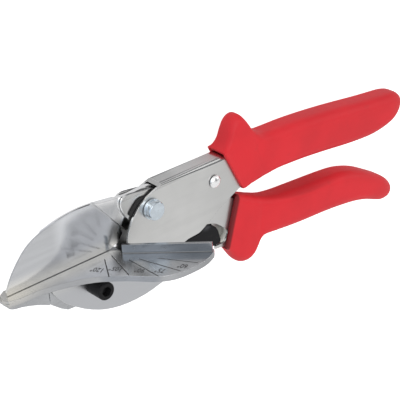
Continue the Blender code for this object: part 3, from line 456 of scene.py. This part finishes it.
def plated_finish():
    """Bright nickel plate on rolled sheet: soft clouds, fine pits, rubbed streaks, painted shade
    towards the grips and on the web's front, and cool painted shade on the jaw plates under the
    table.
    """
    finish = Finish("bright_nickel", metallic=1.0)
    colour = tuple(colours().plated)
    cloud = finish.noise(60, 3)
    streaks = finish.noise(260, 3, finish.place(scale=(0.12, 1, 1)))
    pits = finish.noise(5200, 2)
    base = finish.mix(finish.ramp(cloud, 0.3, 0.7), tinted(colour, 0.96), tinted(colour, 1.04))
    x = finish.axis(0)
    y = finish.axis(1)
    # Painted cool shade on the jaw plates under the table
    jaw = (1 - finish.ramp(y, *JAW_PLATES)) * (1 - finish.ramp(x, *JAW_END))
    # Painted shade towards the grips and on the web's front; the streaks are rubbed wear
    tail_painted_shade = finish.ramp(x, *PLATE_TAIL)
    bend = finish.ramp(y, *PLATE_BEND)
    front = bend * (1 - finish.ramp(x, *PLATE_FRONT))
    dullness_and_painted_shade = finish.ramp(streaks, 0.45, 0.75) * 0.25 + tail_painted_shade * 0.55 + front * 1.5
    base = finish.mix(dullness_and_painted_shade, base, tinted(colour, 0.84))
    finish.shade(base_color=finish.mix(jaw * 0.9, base, JAW_PAINTED_SHADE),
                 roughness=0.26 + cloud * 0.06 + streaks * 0.06 - bend * 0.12,
                 normal=finish.bump(pits, 0.006 * MM, 0.2))
    return finish.material


def cut_edge_finish(name, dark, light):
    """The sheets' cut edges, painted by the way they face: a painted highlight where they face the
    jaw, painted shade where they face the palm.
    """
    finish = Finish(name, metallic=1.0)
    facing = finish.node("ShaderNodeTexCoord", output="Normal")
    across = finish.node("ShaderNodeSeparateXYZ", None, {0: facing}, 0)
    grain = finish.noise(900, 3)
    # Painted highlight on edges that face the jaw, painted shade on those that face the palm
    bright = finish.ramp(0 - across, -0.1, 0.35)
    finish.shade(base_color=finish.mix(bright, dark, light), roughness=0.22 + grain * 0.12,
                 normal=finish.bump(grain, 0.01 * MM, 0.3))
    return finish.material


def polished_finish(name, lift, matt):
    """Ground and polished steel: hair lines, painted warm light low on the blade, painted shade by
    its root.
    """
    finish = Finish(name, metallic=1.0)
    colour = tinted(colours().polished, lift)
    hair = finish.noise(420, 3, finish.place(scale=(0.06, 1, 1), turn=(0, 0, -0.35)))
    smear = finish.noise(70, 2)
    # Painted warm light low on the blade
    warm = 1 - finish.ramp(finish.axis(1), *BLADE_LOW)
    root = finish.ramp(finish.axis(0), *BLADE_ROOT)
    base = finish.mix(finish.ramp(hair, 0.35, 0.7), tinted(colour, 0.97), tinted(colour, 1.03))
    base = finish.mix(root, base, tinted(colour, 1.36))
    base = finish.mix(warm * 0.85, base, BLADE_PAINTED_WARM_LIGHT)
    # Painted shade by the blade's root
    clear_of_root_shade = finish.ramp(finish.away(ROOT_SHADE_PLACE, scale=(1, 1, 0)), *ROOT_SHADE_REACH)
    finish.shade(base_color=finish.mix(clear_of_root_shade, ROOT_PAINTED_SHADE, base),
                 roughness=matt + smear * 0.06 + hair * 0.04,
                 normal=finish.bump(hair, 0.004 * MM, 0.3))
    return finish.material


def cast_finish():
    """A polished die casting: grey, with a ground face and fine scratches, painted warm light on
    its nose, painted shade towards its end and along the fence's foot.
    """
    finish = Finish("polished_casting", metallic=1.0)
    colour = tuple(colours().cast)
    cloud = finish.noise(85, 4)
    scratch = finish.noise(900, 2, finish.place(scale=(1, 1, 0.05), turn=(0, 0.8, 0)))
    across = finish.noise(700, 2, finish.place(scale=(0.06, 1, 1), turn=(0, 0.3, 0)))
    base = finish.mix(finish.ramp(cloud, 0.35, 0.7), tinted(colour, 0.94), tinted(colour, 1.06))
    x = finish.axis(0)
    y = finish.axis(1)
    # Painted warm light on the nose
    nose = 1 - finish.ramp(x, *TABLE_NOSE)
    base = finish.mix(nose * finish.ramp(y, *TABLE_TOP), base, NOSE_PAINTED_LIGHT)
    # Painted shade towards the end
    base = finish.mix(finish.ramp(x, *TABLE_END) * 0.55, base, tinted(colour, 0.58))
    # Painted shade along the fence's foot
    foot = finish.band(y, *FENCE_FOOT_SHADE)
    base = finish.mix(foot * (1 - nose), base, tinted(colour, 0.5))
    marks = finish.ramp(scratch, 0.6, 0.72) + finish.ramp(across, 0.62, 0.72)
    finish.shade(base_color=finish.mix(marks * 0.3, base, tinted(colour, 0.7)),
                 roughness=0.16 + cloud * 0.08 + marks * 0.06,
                 normal=finish.bump(scratch + across, 0.006 * MM, 0.3))
    return finish.material


def cast_edge_finish():
    """The casting's edges: a dark line by the nose, and a painted highlight along the gauge."""
    finish = Finish("cast_edge", metallic=1.0)
    grain = finish.noise(700, 3)
    # This bright part is a painted highlight along the gauge
    rubbed = finish.ramp(finish.axis(0), *TABLE_EDGE_HIGHLIGHT)
    finish.shade(base_color=finish.mix(rubbed, CAST_EDGE, CAST_EDGE_HIGHLIGHT),
                 roughness=0.2 + grain * 0.12,
                 normal=finish.bump(grain, 0.01 * MM, 0.3))
    return finish.material


def zinc_finish():
    """Bright blue zinc plate with a faint rainbow."""
    finish = Finish("blue_zinc", metallic=1.0)
    colour = tuple(colours().zinc)
    film = finish.noise(330, 3)
    base = finish.mix(finish.ramp(film, 0.3, 0.6), tinted(colour, 1.06), tinted(colour, 0.96))
    finish.shade(base_color=finish.mix(finish.ramp(film, 0.6, 0.75) * 0.2, base, RAINBOW),
                 roughness=0.12 + film * 0.06,
                 normal=finish.bump(finish.noise(2400, 2), 0.006 * MM, 0.3))
    return finish.material


def black_finish():
    """Black oxide: near black, a little brown where it is rubbed, and a painted grey sheen on the
    latch's top.
    """
    finish = Finish("black_oxide", specular=0.10)
    colour = tuple(colours().black)
    rub = finish.ramp(finish.noise(520, 3), 0.58, 0.8)
    grain = finish.noise(3000, 2)
    # Painted sheen on the latch's top
    worn = (1 - finish.ramp(finish.away(LATCH_SHEEN_PLACE), *LATCH_SHEEN_REACH)) * 0.8
    base = finish.mix(rub * 0.35, colour, BLACK_RUBBED)
    finish.shade(base_color=finish.mix(worn, base, BLACK_PAINTED_SHEEN),
                 roughness=0.34 + grain * 0.12 + rub * 0.1,
                 normal=finish.bump(grain, 0.01 * MM, 0.3))
    return finish.material


def slip_finish():
    """A matt black slip sheet, worn grey in spots."""
    finish = Finish("slip_sheet")
    grain = finish.noise(1500, 3)
    finish.shade(base_color=finish.mix(finish.ramp(grain, 0.5, 0.8), (0.012, 0.012, 0.013),
                                       (0.035, 0.034, 0.033)),
                 roughness=0.5 + grain * 0.15,
                 normal=finish.bump(grain, 0.02 * MM, 0.4))
    return finish.material


def wire_finish():
    """Drawn spring wire with dark draw marks."""
    finish = Finish("spring_wire", metallic=1.0)
    colour = tuple(colours().wire)
    marks = finish.noise(900, 3)
    finish.shade(base_color=finish.mix(finish.ramp(marks, 0.4, 0.7), tinted(colour, 0.8),
                                       tinted(colour, 1.15)),
                 roughness=0.28 + marks * 0.12,
                 normal=finish.bump(marks, 0.01 * MM, 0.3))
    return finish.material


def lip_painted_light_finish():
    """Painted light: bare steel coloured near white and matt, bright where the arch's end shows
    light.
    """
    finish = Finish("painted_light_lip", metallic=0.15)
    grain = finish.noise(1500, 3)
    finish.shade(base_color=finish.mix(grain, (0.88, 0.87, 0.79), (0.98, 0.97, 0.90)),
                 roughness=0.45 + grain * 0.12,
                 normal=finish.bump(grain, 0.01 * MM, 0.3))
    return finish.material


def engraved_finish():
    """The dark fill of the gauge's lines and numbers."""
    finish = Finish("number_fill", roughness=0.6)
    grain = finish.noise(1800, 2)
    finish.shade(base_color=finish.mix(grain, (0.03, 0.03, 0.032), (0.09, 0.09, 0.092)),
                 normal=finish.bump(grain, 0.01 * MM, 0.4))
    return finish.material


def floor_finish():
    """A white bench under bright light, whose shadows are washed out."""
    finish = Finish("white_bench", roughness=0.8)
    cloud = finish.noise(3, 2)
    seen = finish.node("ShaderNodeLightPath")
    finish.shade(base_color=finish.mix(cloud, (0.48, 0.48, 0.48), (0.52, 0.52, 0.52)),
                 emission_color=finish.mix(seen, BENCH_GLOW, WHITE), emission_strength=1.0)
    return finish.material


def curve_through(points, steps):
    """A smooth open curve through the points, with steps pieces between two of them."""
    ends = [points[0], *points, points[-1]]
    curve = []
    for before, start, end, after in zip(ends, ends[1:], ends[2:], ends[3:]):
        for step in range(steps):
            t = step / steps
            curve.append(tuple(
                0.5 * (2 * p + (q - o) * t + (2 * o - 5 * p + 4 * q - r) * t ** 2
                       + (3 * p - o - 3 * q + r) * t ** 3)
                for o, p, q, r in zip(before, start, end, after)))
    curve.append(tuple(points[-1]))
    return curve


def piece_from(bm, name, body, material, replaces=(), smooth=SHARP_ANGLE):
    """Makes a bmesh one of the shears' pieces, at the origin, riding on its body."""
    mesh = bpy.data.meshes.new(name)
    bm.to_mesh(mesh)
    bm.free()
    mesh.shade_smooth()
    mesh.set_sharp_from_angle(angle=math.radians(smooth))
    piece = bpy.data.objects.new(name, mesh)
    bpy.context.scene.collection.objects.link(piece)
    mesh.materials.append(material)
    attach(piece, body)
    if replaces:
        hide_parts(*replaces)
    return piece


def merged_copy(node):
    """A copy of the CAD node's skin, its corners merged and its flat faces joined."""
    bm = bmesh.new()
    bm.from_mesh(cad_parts[node].data)
    bmesh.ops.remove_doubles(bm, verts=bm.verts, dist=MERGE)
    bmesh.ops.dissolve_limit(bm, angle_limit=FLAT, verts=bm.verts, edges=bm.edges,
                             use_dissolve_boundaries=False)
    return bm


def eased(piece, width):
    """Rounds the piece's sharp edges and keeps its flat faces looking flat."""
    bevel = piece.modifiers.new("Edges", "BEVEL")
    bevel.width = width
    bevel.segments = EDGE_SEGMENTS
    bevel.limit_method = "ANGLE"
    bevel.angle_limit = EDGE_ANGLE
    bevel.miter_outer = "MITER_ARC"
    bevel.harden_normals = False
    normals = piece.modifiers.new("Flats", "WEIGHTED_NORMAL")
    normals.keep_sharp = True
    return piece


def edge_material(piece, material):
    """Gives the piece's rounded edges a material of their own."""
    piece.data.materials.append(material)
    piece.modifiers["Edges"].material = 1


def is_cut_face(mesh, face):
    """Whether a channel's face is the sheared edge of its sheet, not a wall or the web."""
    heights = [mesh.vertices[corner].co.z for corner in face.vertices]
    return abs(face.normal.z) < 0.1 and max(heights) - min(heights) < SHEET + MERGE


def eased_copy(node, name, body, material, width):
    """A CAD node's skin with its sharp edges rounded."""
    return eased(piece_from(merged_copy(node), name, body, material, (node,)), width)


def spun(profile, centre, sides=96):
    """A bmesh turned about a line along Z, from (radius, z) points that start and end on it."""
    bm = bmesh.new()
    corners = [bm.verts.new((centre[0] + radius, centre[1], z)) for radius, z in profile]
    edges = [bm.edges.new(pair) for pair in zip(corners, corners[1:])]
    bmesh.ops.spin(bm, geom=corners + edges, cent=(centre[0], centre[1], 0), axis=(0, 0, 1),
                   angle=math.tau, steps=sides, use_merge=True)
    bmesh.ops.remove_doubles(bm, verts=bm.verts, dist=MERGE)
    bmesh.ops.recalc_face_normals(bm, faces=bm.faces)
    return bm


def carved(body, tool, operation):
    """The bmesh left when one closed bmesh is cut by another, or kept where they meet."""
    parts = []
    for bm in (body, tool):
        mesh = bpy.data.meshes.new("carved")
        bm.to_mesh(mesh)
        bm.free()
        part = bpy.data.objects.new("carved", mesh)
        bpy.context.scene.collection.objects.link(part)
        parts.append(part)
    cut = parts[0].modifiers.new("Cut", "BOOLEAN")
    cut.operation = operation
    cut.object = parts[1]
    cut.solver = "EXACT"
    result = bmesh.new()
    result.from_object(parts[0], bpy.context.evaluated_depsgraph_get())
    for part in parts:
        mesh = part.data
        bpy.data.objects.remove(part)
        bpy.data.meshes.remove(mesh)
    bmesh.ops.remove_doubles(result, verts=result.verts, dist=MERGE)
    bmesh.ops.recalc_face_normals(result, faces=result.faces)
    return result


def chamfered_nut(node, body, material, edge):
    """A hexagon nut whose outer corners are turned off at 30 degrees, as real ones are."""
    low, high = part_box(node)
    corner = max(high[0] - low[0], high[1] - low[1]) / 2
    face = corner * math.cos(HEX_HALF) * NUT_FACE_SHARE
    drop = (corner - face) * math.tan(HEX_HALF)
    centre = ((low[0] + high[0]) / 2, (low[1] + high[1]) / 2)
    top = high[2] + MM
    turned = spun([(0, low[2]), (face, low[2]), (corner + MM, low[2] + drop + CHAMFER_SLOPE * MM),
                   (corner + MM, top), (0, top)], centre)
    nut = piece_from(carved(merged_copy(node), turned, "INTERSECT"), f"{node}_hex", body,
                     material, (node,), 30)
    return eased(nut, edge)


def hex_recess(node, name, body, material, edge):
    """A small screw with a hexagon recess in its head, which faces the back."""
    low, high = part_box(node)
    centre = ((low[0] + high[0]) / 2, (low[1] + high[1]) / 2)
    key = bmesh.new()
    bmesh.ops.create_cone(key, cap_ends=True, segments=6, radius1=sizes().small_key,
                          radius2=sizes().small_key, depth=sizes().small_key)
    bmesh.ops.translate(key, verts=key.verts, vec=(*centre, low[2]))
    screw = piece_from(carved(merged_copy(node), key, "DIFFERENCE"), name, body, material,
                       (node,), 30)
    return eased(screw, edge / 2)


def coil(low, high, wire, turns, steps):
    """A spring along Y between two corners of its box, with a closed turn at each end."""
    centre = (Vector(low) + Vector(high)) / 2
    radius = (high[0] - low[0] - wire) / 2
    bm = bmesh.new()
    ring = bmesh.ops.create_circle(bm, cap_ends=True, segments=12, radius=wire / 2)["verts"]
    bmesh.ops.translate(bm, verts=ring, vec=(centre.x + radius, low[1] + wire / 2, centre.z))
    geom = [ring[0].link_faces[0]]
    climb = high[1] - low[1] - 3 * wire
    for share, rise in ((1, wire), (turns - 2, climb), (1, wire)):
        count = int(share * steps)
        geom = bmesh.ops.spin(bm, geom=geom, cent=centre, axis=(0, 1, 0), dvec=(0, rise / count, 0),
                              angle=math.tau * share, steps=count)["geom_last"]
    bmesh.ops.remove_doubles(bm, verts=bm.verts, dist=MERGE)
    bmesh.ops.recalc_face_normals(bm, faces=bm.faces)
    return bm


def grip_ring(bm, station, bow, corner_steps):
    """One section of a grip: a sheet with its corners bevelled round, set on its own line."""
    top_x, top_y, low_x, low_y, top_half, low_half, radius = station
    top = Vector((HEAD_LENGTH + top_x * GRIP_LENGTH, top_y * HEAD_HEIGHT))
    low = Vector((HEAD_LENGTH + low_x * GRIP_LENGTH, low_y * HEAD_HEIGHT))
    half_height = (top - low).length / 2
    up = (top - low).normalized()
    corner = min(radius * GRIP_THICKNESS, half_height * ROUND_SHARE,
                 min(top_half, low_half) * GRIP_THICKNESS * ROUND_SHARE)
    grid = bmesh.ops.create_grid(bm, x_segments=1, y_segments=1, size=1.0)["verts"]
    for corner_vert in grid:
        half = top_half if corner_vert.co.y > 0 else low_half
        corner_vert.co.x *= half * GRIP_THICKNESS
        corner_vert.co.y *= half_height
    made = bmesh.ops.bevel(bm, geom=grid, offset=corner, segments=corner_steps, profile=0.5,
                           affect="VERTICES", material=-1)
    face = next(f for v in made["verts"] for f in v.link_faces if len(f.verts) > 4)
    ring = list(face.verts)
    edges = list(face.edges)
    bmesh.ops.delete(bm, geom=[face], context="FACES_ONLY")
    centre = (top + low) / 2
    for vert in ring:
        across, along = vert.co.x, vert.co.y
        sag = bow * GRIP_LENGTH * (1 - (along / half_height) ** 2)
        place = centre + up * along
        vert.co = (place.x + sag * up.y, place.y - sag * up.x, MIDDLE + across)
    return edges


def grip_skin(stations, bow):
    """The grip's outer skin, open at its lip."""
    bm = bmesh.new()
    rings = []
    for number, station in enumerate(curve_through(stations, sizes().grip_steps)):
        fade = max(0, 1 - number / (BOW_STATIONS * sizes().grip_steps / 2))
        rings.append(grip_ring(bm, station, bow * fade, sizes().corner_steps))
    for first, second in zip(rings, rings[1:]):
        bmesh.ops.bridge_loops(bm, edges=first + second)
    bmesh.ops.edgeloop_fill(bm, edges=rings[-1])
    bmesh.ops.recalc_face_normals(bm, faces=bm.faces)
    return bm


class SHEARS_OT_grips(bpy.types.Operator):
    """Makes both moulded grips"""
    bl_idname = "shears.grips"
    bl_label = "Grips"

    def execute(self, context):
        for name, body, stations, bow, vinyl in (
                ("upper_grip_skin", "anvil_frame", UPPER_STATIONS, 0,
                 grip_finish("upper_vinyl", None, None)),
                ("lower_grip_skin", "blade_frame", LOWER_STATIONS, LOWER_LIP_BOW,
                 grip_finish("lower_vinyl", LOWER_LIP_LINE, LOWER_WAIST_LINE))):
            grip = piece_from(grip_skin(stations, bow), name, body, vinyl,
                              (name.replace("_skin", ""),), 50)
            wall = grip.modifiers.new("Wall", "SOLIDIFY")
            wall.thickness = sizes().lip_wall
            wall.offset = -1
        return {"FINISHED"}


class SHEARS_OT_channels(bpy.types.Operator):
    """Makes the two pressed channels"""
    bl_idname = "shears.channels"
    bl_label = "Channels"

    def execute(self, context):
        nickel = plated_finish()
        # The cut edges' painted shade and painted highlight
        cut = cut_edge_finish("sheared_edge", (0.16, 0.16, 0.165), (0.88, 0.88, 0.87))
        for node, body in (("upper_channel", "anvil_frame"), ("lower_channel", "blade_frame")):
            sheet = eased_copy(node, f"{node}_sheet", body, nickel,
                               sizes().sheet_edge)
            edge_material(sheet, cut)
            for face in sheet.data.polygons:
                if is_cut_face(sheet.data, face):
                    face.material_index = 1
        self.lip()
        return {"FINISHED"}

    def lip(self):
        """The lip turned in round the rear end of the lower channel's arch, coloured near white as
        painted light.
        """
        bm = bmesh.new()
        edge = [bm.verts.new((x * HEAD_LENGTH + LIP_SHEET, y * HEAD_HEIGHT, LIP_LOW))
                for x, y in curve_through(ARCH_END, 4)]
        rim = [bm.edges.new(pair) for pair in zip(edge, edge[1:])]
        swept = bmesh.ops.extrude_edge_only(bm, edges=rim)["geom"]
        bmesh.ops.translate(bm, verts=[v for v in swept if isinstance(v, bmesh.types.BMVert)],
                            vec=(0, 0, LIP_HIGH - LIP_LOW))
        lip = piece_from(bm, "lower_channel_lip", "blade_frame", lip_painted_light_finish())
        wall = lip.modifiers.new("Wall", "SOLIDIFY")
        wall.thickness = LIP_SHEET
        wall.offset = 0


class SHEARS_OT_mitre_table(bpy.types.Operator):
    """Makes the cast table with its fence, gauge lines and numbers"""
    bl_idname = "shears.mitre_table"
    bl_label = "Mitre table"

    def execute(self, context):
        casting = cast_finish()
        table = eased_copy("mitre_table", "mitre_table_casting", "anvil_frame", casting,
                           sizes().cast_edge)
        edge_material(table, cast_edge_finish())
        fill = engraved_finish()
        for degrees, x, z in GAUGE_NUMBERS:
            self.number(degrees, x * MM, z * MM, fill)
        for degrees, x, z, length in GAUGE_LINES:
            self.line(degrees, x * JAW_LENGTH, BLADE_FACE + z * TABLE_DEPTH,
                      length * TABLE_DEPTH, fill)
        self.cove(casting)
        return {"FINISHED"}

    def line(self, degrees, x, z, length, fill):
        """The dark fill of one gauge groove."""
        bm = bmesh.new()
        bmesh.ops.create_grid(bm, x_segments=1, y_segments=1, size=0.5)
        width = sizes().line_width
        bmesh.ops.scale(bm, verts=bm.verts, vec=(length - width, width, 1))
        run = Vector((-math.cos(math.radians(degrees)), 0, math.sin(math.radians(degrees))))
        normal = Vector((0, 1, 0))
        turn = Matrix((run, normal.cross(run), normal)).transposed().to_4x4()
        bm.transform(Matrix.Translation((x, TABLE_FACE - FILL_SUNK, z)) @ turn)
        strip = piece_from(bm, f"gauge_line_{degrees}", "anvil_frame", fill)
        depth = strip.modifiers.new("Depth", "SOLIDIFY")
        depth.thickness = FILL_DEPTH
        depth.offset = -1

    def cove(self, casting):
        """The hollow fillet along the fence's foot."""
        along = Vector((math.cos(FENCE_ANGLE), 0, math.sin(FENCE_ANGLE)))
        out = Vector((-along.z, 0, along.x))
        start = Vector((FENCE_START[0] * JAW_LENGTH, TABLE_FACE,
                        BLADE_FACE + FENCE_START[1] * TABLE_DEPTH))
        radius = sizes().cove
        profile = [(-COVE_SUNK, -COVE_SUNK), (radius, -COVE_SUNK)]
        profile += [(radius * (1 - math.sin(turn)), radius * (1 - math.cos(turn)))
                    for turn in (math.radians(degrees) for degrees in range(0, 91, 15))]
        profile.append((-COVE_SUNK, radius))
        bm = bmesh.new()
        face = bm.faces.new([bm.verts.new(start + along * COVE_START + out * aside
                                          + Vector((0, height, 0)))
                             for aside, height in profile])
        swept = bmesh.ops.extrude_face_region(bm, geom=[face])["geom"]
        bmesh.ops.translate(bm, verts=[v for v in swept if isinstance(v, bmesh.types.BMVert)],
                            vec=along * (FENCE_LENGTH - COVE_SHORTER))
        bmesh.ops.remove_doubles(bm, verts=bm.verts, dist=MERGE)
        bmesh.ops.recalc_face_normals(bm, faces=bm.faces)
        piece_from(bm, "fence_cove", "anvil_frame", casting, smooth=50)

    def number(self, degrees, x, z, fill):
        """One number, flat on the table, readable from the fence's side."""
        text = bpy.data.curves.new(f"gauge_{degrees}", "FONT")
        text.body = f"{degrees}°"
        text.size = sizes().number_height
        text.align_x = "CENTER"
        text.align_y = "CENTER"
        text.extrude = NUMBER_DEPTH
        text.offset = NUMBER_BOLD
        text.resolution_u = 4
        holder = bpy.data.objects.new(text.name, text)
        bpy.context.scene.collection.objects.link(holder)
        bpy.context.view_layer.update()
        mesh = bpy.data.meshes.new_from_object(holder.evaluated_get(
            bpy.context.evaluated_depsgraph_get()))
        bpy.data.objects.remove(holder)
        read = Vector((math.cos(READING_ANGLE), 0, math.sin(READING_ANGLE)))
        normal = Vector((0, 1, 0))
        rise = normal.cross(read) * sizes().number_stretch
        turn = Matrix((read, rise, normal)).transposed().to_4x4()
        bm = bmesh.new()
        bm.from_mesh(mesh)
        bpy.data.meshes.remove(mesh)
        bm.transform(Matrix.Translation((x, TABLE_FACE + NUMBER_RISE, z)) @ turn)
        piece_from(bm, f"gauge_number_{degrees}", "anvil_frame", fill)


class SHEARS_OT_blade(bpy.types.Operator):
    """Makes the cutting blade and its arm"""
    bl_idname = "shears.blade"
    bl_label = "Blade and arm"

    def execute(self, context):
        # The ground edges' painted shade and painted highlight
        cut = cut_edge_finish("ground_edge", (0.30, 0.30, 0.31), (0.93, 0.93, 0.94))
        blade = eased_copy("cutting_blade", "cutting_blade_ground", "blade_frame",
                           polished_finish("blade_steel", lift=1.0, matt=0.10),
                           BLADE_EDGE)
        arm = eased_copy("blade_arm", "blade_arm_ground", "blade_frame",
                         polished_finish("arm_steel", lift=1.35, matt=0.10),
                         ARM_EDGE)
        edge_material(blade, cut)
        edge_material(arm, cut)
        return {"FINISHED"}


class SHEARS_OT_pivot(bpy.types.Operator):
    """Makes the pivot bolt, its nut and the slip sheets"""
    bl_idname = "shears.pivot"
    bl_label = "Pivot"

    def execute(self, context):
        zinc = zinc_finish()
        slip = slip_finish()
        edge = sizes().small_edge
        eased_copy("pivot_bolt", "pivot_bolt_turned", "anvil_frame", zinc, edge)
        chamfered_nut("pivot_nut", "anvil_frame", zinc, edge)
        for node in ("front_spacer", "rear_spacer"):
            eased_copy(node, f"{node}_sheet", "anvil_frame", slip, edge / 2)
        return {"FINISHED"}


class SHEARS_OT_table_screw(bpy.types.Operator):
    """Makes the socket screw that holds the table, and its nut"""
    bl_idname = "shears.table_screw"
    bl_label = "Table screw"

    def execute(self, context):
        edge = sizes().small_edge
        eased_copy("table_screw", "table_screw_socket", "anvil_frame", black_finish(),
                   edge)
        chamfered_nut("table_nut", "anvil_frame", zinc_finish(), edge)
        return {"FINISHED"}


class SHEARS_OT_latch(bpy.types.Operator):
    """Makes the latch lever, its pin and the rivet that it hooks on"""
    bl_idname = "shears.latch"
    bl_label = "Latch"

    def execute(self, context):
        nickel = plated_finish()
        edge = sizes().small_edge
        eased_copy("latch_lever", "latch_lever_thumb", "latch", black_finish(),
                   2 * edge)
        eased_copy("latch_pin", "latch_pin_head", "blade_frame", nickel, edge)
        eased_copy("catch_rivet", "catch_rivet_dome", "anvil_frame",
                   polished_finish("rivet_steel", lift=1.6, matt=0.22), edge / 2)
        return {"FINISHED"}


class SHEARS_OT_spring(bpy.types.Operator):
    """Makes the opening spring and its seats"""
    bl_idname = "shears.spring"
    bl_label = "Spring"

    def execute(self, context):
        edge = sizes().small_edge
        black = black_finish()
        piece_from(coil(SPRING_LOW, SPRING_HIGH, sizes().spring_wire, SPRING_TURNS, 32),
                   "opening_spring_coil", "anvil_frame", wire_finish(),
                   ("opening_spring",), 60)
        eased_copy("upper_spring_seat", "upper_spring_seat_plate", "anvil_frame", black,
                   edge)
        eased_copy("lower_spring_seat", "lower_spring_seat_plate", "blade_frame", black,
                   edge)
        return {"FINISHED"}


class SHEARS_OT_small_fasteners(bpy.types.Operator):
    """Makes the rivets and screws that hold the arm and the blade"""
    bl_idname = "shears.small_fasteners"
    bl_label = "Small fasteners"

    def execute(self, context):
        nickel = plated_finish()
        zinc = zinc_finish()
        edge = sizes().small_edge
        for number in (1, 2):
            eased_copy(f"arm_rivet_{number}", f"arm_rivet_{number}_head", "blade_frame", nickel,
                       edge)
            hex_recess(f"blade_screw_{number}", f"blade_screw_{number}_head", "blade_frame", zinc,
                       edge)
        return {"FINISHED"}


class SHEARS_OT_stage(bpy.types.Operator):
    """Makes the floor, the lights and the camera"""
    bl_idname = "shears.stage"
    bl_label = "Stage"

    def execute(self, context):
        stage = context.scene.shears_stage
        self.floor(stage.floor_size)
        self.sky(stage.sky)
        self.lamp("key_light", KEY_PLACE, KEY_SIZE, stage.key)
        self.lamp("side_light", SIDE_PLACE, SIDE_SIZE, stage.key * SIDE_SHARE)
        self.camera(stage.lens)
        return {"FINISHED"}

    def floor(self, width):
        bm = bmesh.new()
        bmesh.ops.create_grid(bm, x_segments=1, y_segments=1, size=width / 2)
        bmesh.ops.translate(bm, verts=bm.verts, vec=(0, 0, -BENCH_DROP))
        mesh = bpy.data.meshes.new("bench")
        bm.to_mesh(mesh)
        bm.free()
        mesh.materials.append(floor_finish())
        bench = bpy.data.objects.new("bench", mesh)
        bpy.context.scene.collection.objects.link(bench)

    def sky(self, strength):
        """A white room of soft boxes, with a gap overhead, a low one behind and a dim side."""
        world = bpy.data.worlds.new("soft_room")
        world.use_nodes = True
        room = Nodes(world.node_tree)
        direction = room.node("ShaderNodeTexCoord", output="Generated")
        x, y, z = (room.node("ShaderNodeSeparateXYZ", None, {0: direction}, number)
                   for number in range(3))
        lean = y / room.node("ShaderNodeMath", {"operation": "MAXIMUM"}, {0: z, 1: 0.05})
        ahead = room.ramp(x, 0.15, 0.35)
        overhead = room.band(lean, -0.20, 0.42, 0.08) * ahead
        bright = room.band(lean, 0.58, 1.3, 0.12) * ahead
        low = (1 - room.ramp(z, 0.36, 0.48)) * room.ramp(y, 0.3, 0.5) * ahead
        side = room.ramp(0 - x, 0.58, 0.68)
        forward = room.ramp(y, -0.25, 0.10)
        colour = room.mix(side, WHITE, room.mix(forward, ROOM_LOW_SIDE, ROOM_COOL_SIDE))
        colour = room.mix(bright, colour, ROOM_LIGHT)
        colour = room.mix(overhead, colour, ROOM_GAP)
        colour = room.mix(low, colour, ROOM_GAP)
        background = world.node_tree.nodes["Background"]
        room.feed(background.inputs["Color"], colour)
        background.inputs["Strength"].default_value = strength
        bpy.context.scene.world = world

    def lamp(self, name, place, size, power):
        light = bpy.data.lights.new(name, "AREA")
        light.shape = "DISK"
        light.size = size
        light.energy = power
        lamp = bpy.data.objects.new(name, light)
        lamp.location = place
        aim = Vector(LAMP_AIM) - Vector(place)
        lamp.rotation_euler = aim.to_track_quat("-Z", "Y").to_euler()
        bpy.context.scene.collection.objects.link(lamp)

    def camera(self, lens):
        data = bpy.data.cameras.new("photo_camera")
        data.lens = lens
        data.sensor_width = 36
        data.clip_start = 0.01
        data.clip_end = 50
        camera = bpy.data.objects.new("photo_camera", data)
        right = Vector(CAMERA_RIGHT).normalized()
        back = Vector(CAMERA_BACK).normalized()
        rise = back.cross(right)
        turn = Matrix((right, rise, back)).transposed().to_4x4()
        camera.matrix_world = Matrix.Translation(CAMERA_PLACE) @ turn
        bpy.context.scene.collection.objects.link(camera)
        bpy.context.scene.camera = camera
        bpy.context.scene.view_settings.view_transform = "Standard"


PIECE_OPERATORS = (
    SHEARS_OT_grips, SHEARS_OT_channels, SHEARS_OT_mitre_table, SHEARS_OT_blade, SHEARS_OT_pivot,
    SHEARS_OT_table_screw, SHEARS_OT_latch, SHEARS_OT_spring, SHEARS_OT_small_fasteners,
    SHEARS_OT_stage)


class SHEARS_PT_panel(bpy.types.Panel):
    """Lists the shears' pieces and sizes in the sidebar"""
    bl_idname = "SHEARS_PT_panel"
    bl_label = "Mitre shears"
    bl_space_type = "VIEW_3D"
    bl_region_type = "UI"
    bl_category = "Shears"

    def draw(self, context):
        column = self.layout.column()
        for operator in PIECE_OPERATORS:
            column.operator(operator.bl_idname)
        for group in (context.scene.shears_sizes, context.scene.shears_colours,
                      context.scene.shears_stage):
            for name in group.bl_rna.properties.keys():
                if name not in ("rna_type", "name"):
                    column.prop(group, name)


CLASSES = (ShearsSizes, ShearsColours, ShearsStage, *PIECE_OPERATORS, SHEARS_PT_panel)


def register():
    for item in CLASSES:
        bpy.utils.register_class(item)
    bpy.types.Scene.shears_sizes = bpy.props.PointerProperty(type=ShearsSizes)
    bpy.types.Scene.shears_colours = bpy.props.PointerProperty(type=ShearsColours)
    bpy.types.Scene.shears_stage = bpy.props.PointerProperty(type=ShearsStage)


def unregister():
    del bpy.types.Scene.shears_stage
    del bpy.types.Scene.shears_colours
    del bpy.types.Scene.shears_sizes
    for item in reversed(CLASSES):
        bpy.utils.unregister_class(item)


def main():
    register()
    for operator in PIECE_OPERATORS:
        group, name = operator.bl_idname.split(".")
        getattr(getattr(bpy.ops, group), name)()


if __name__ == "__main__":
    main()
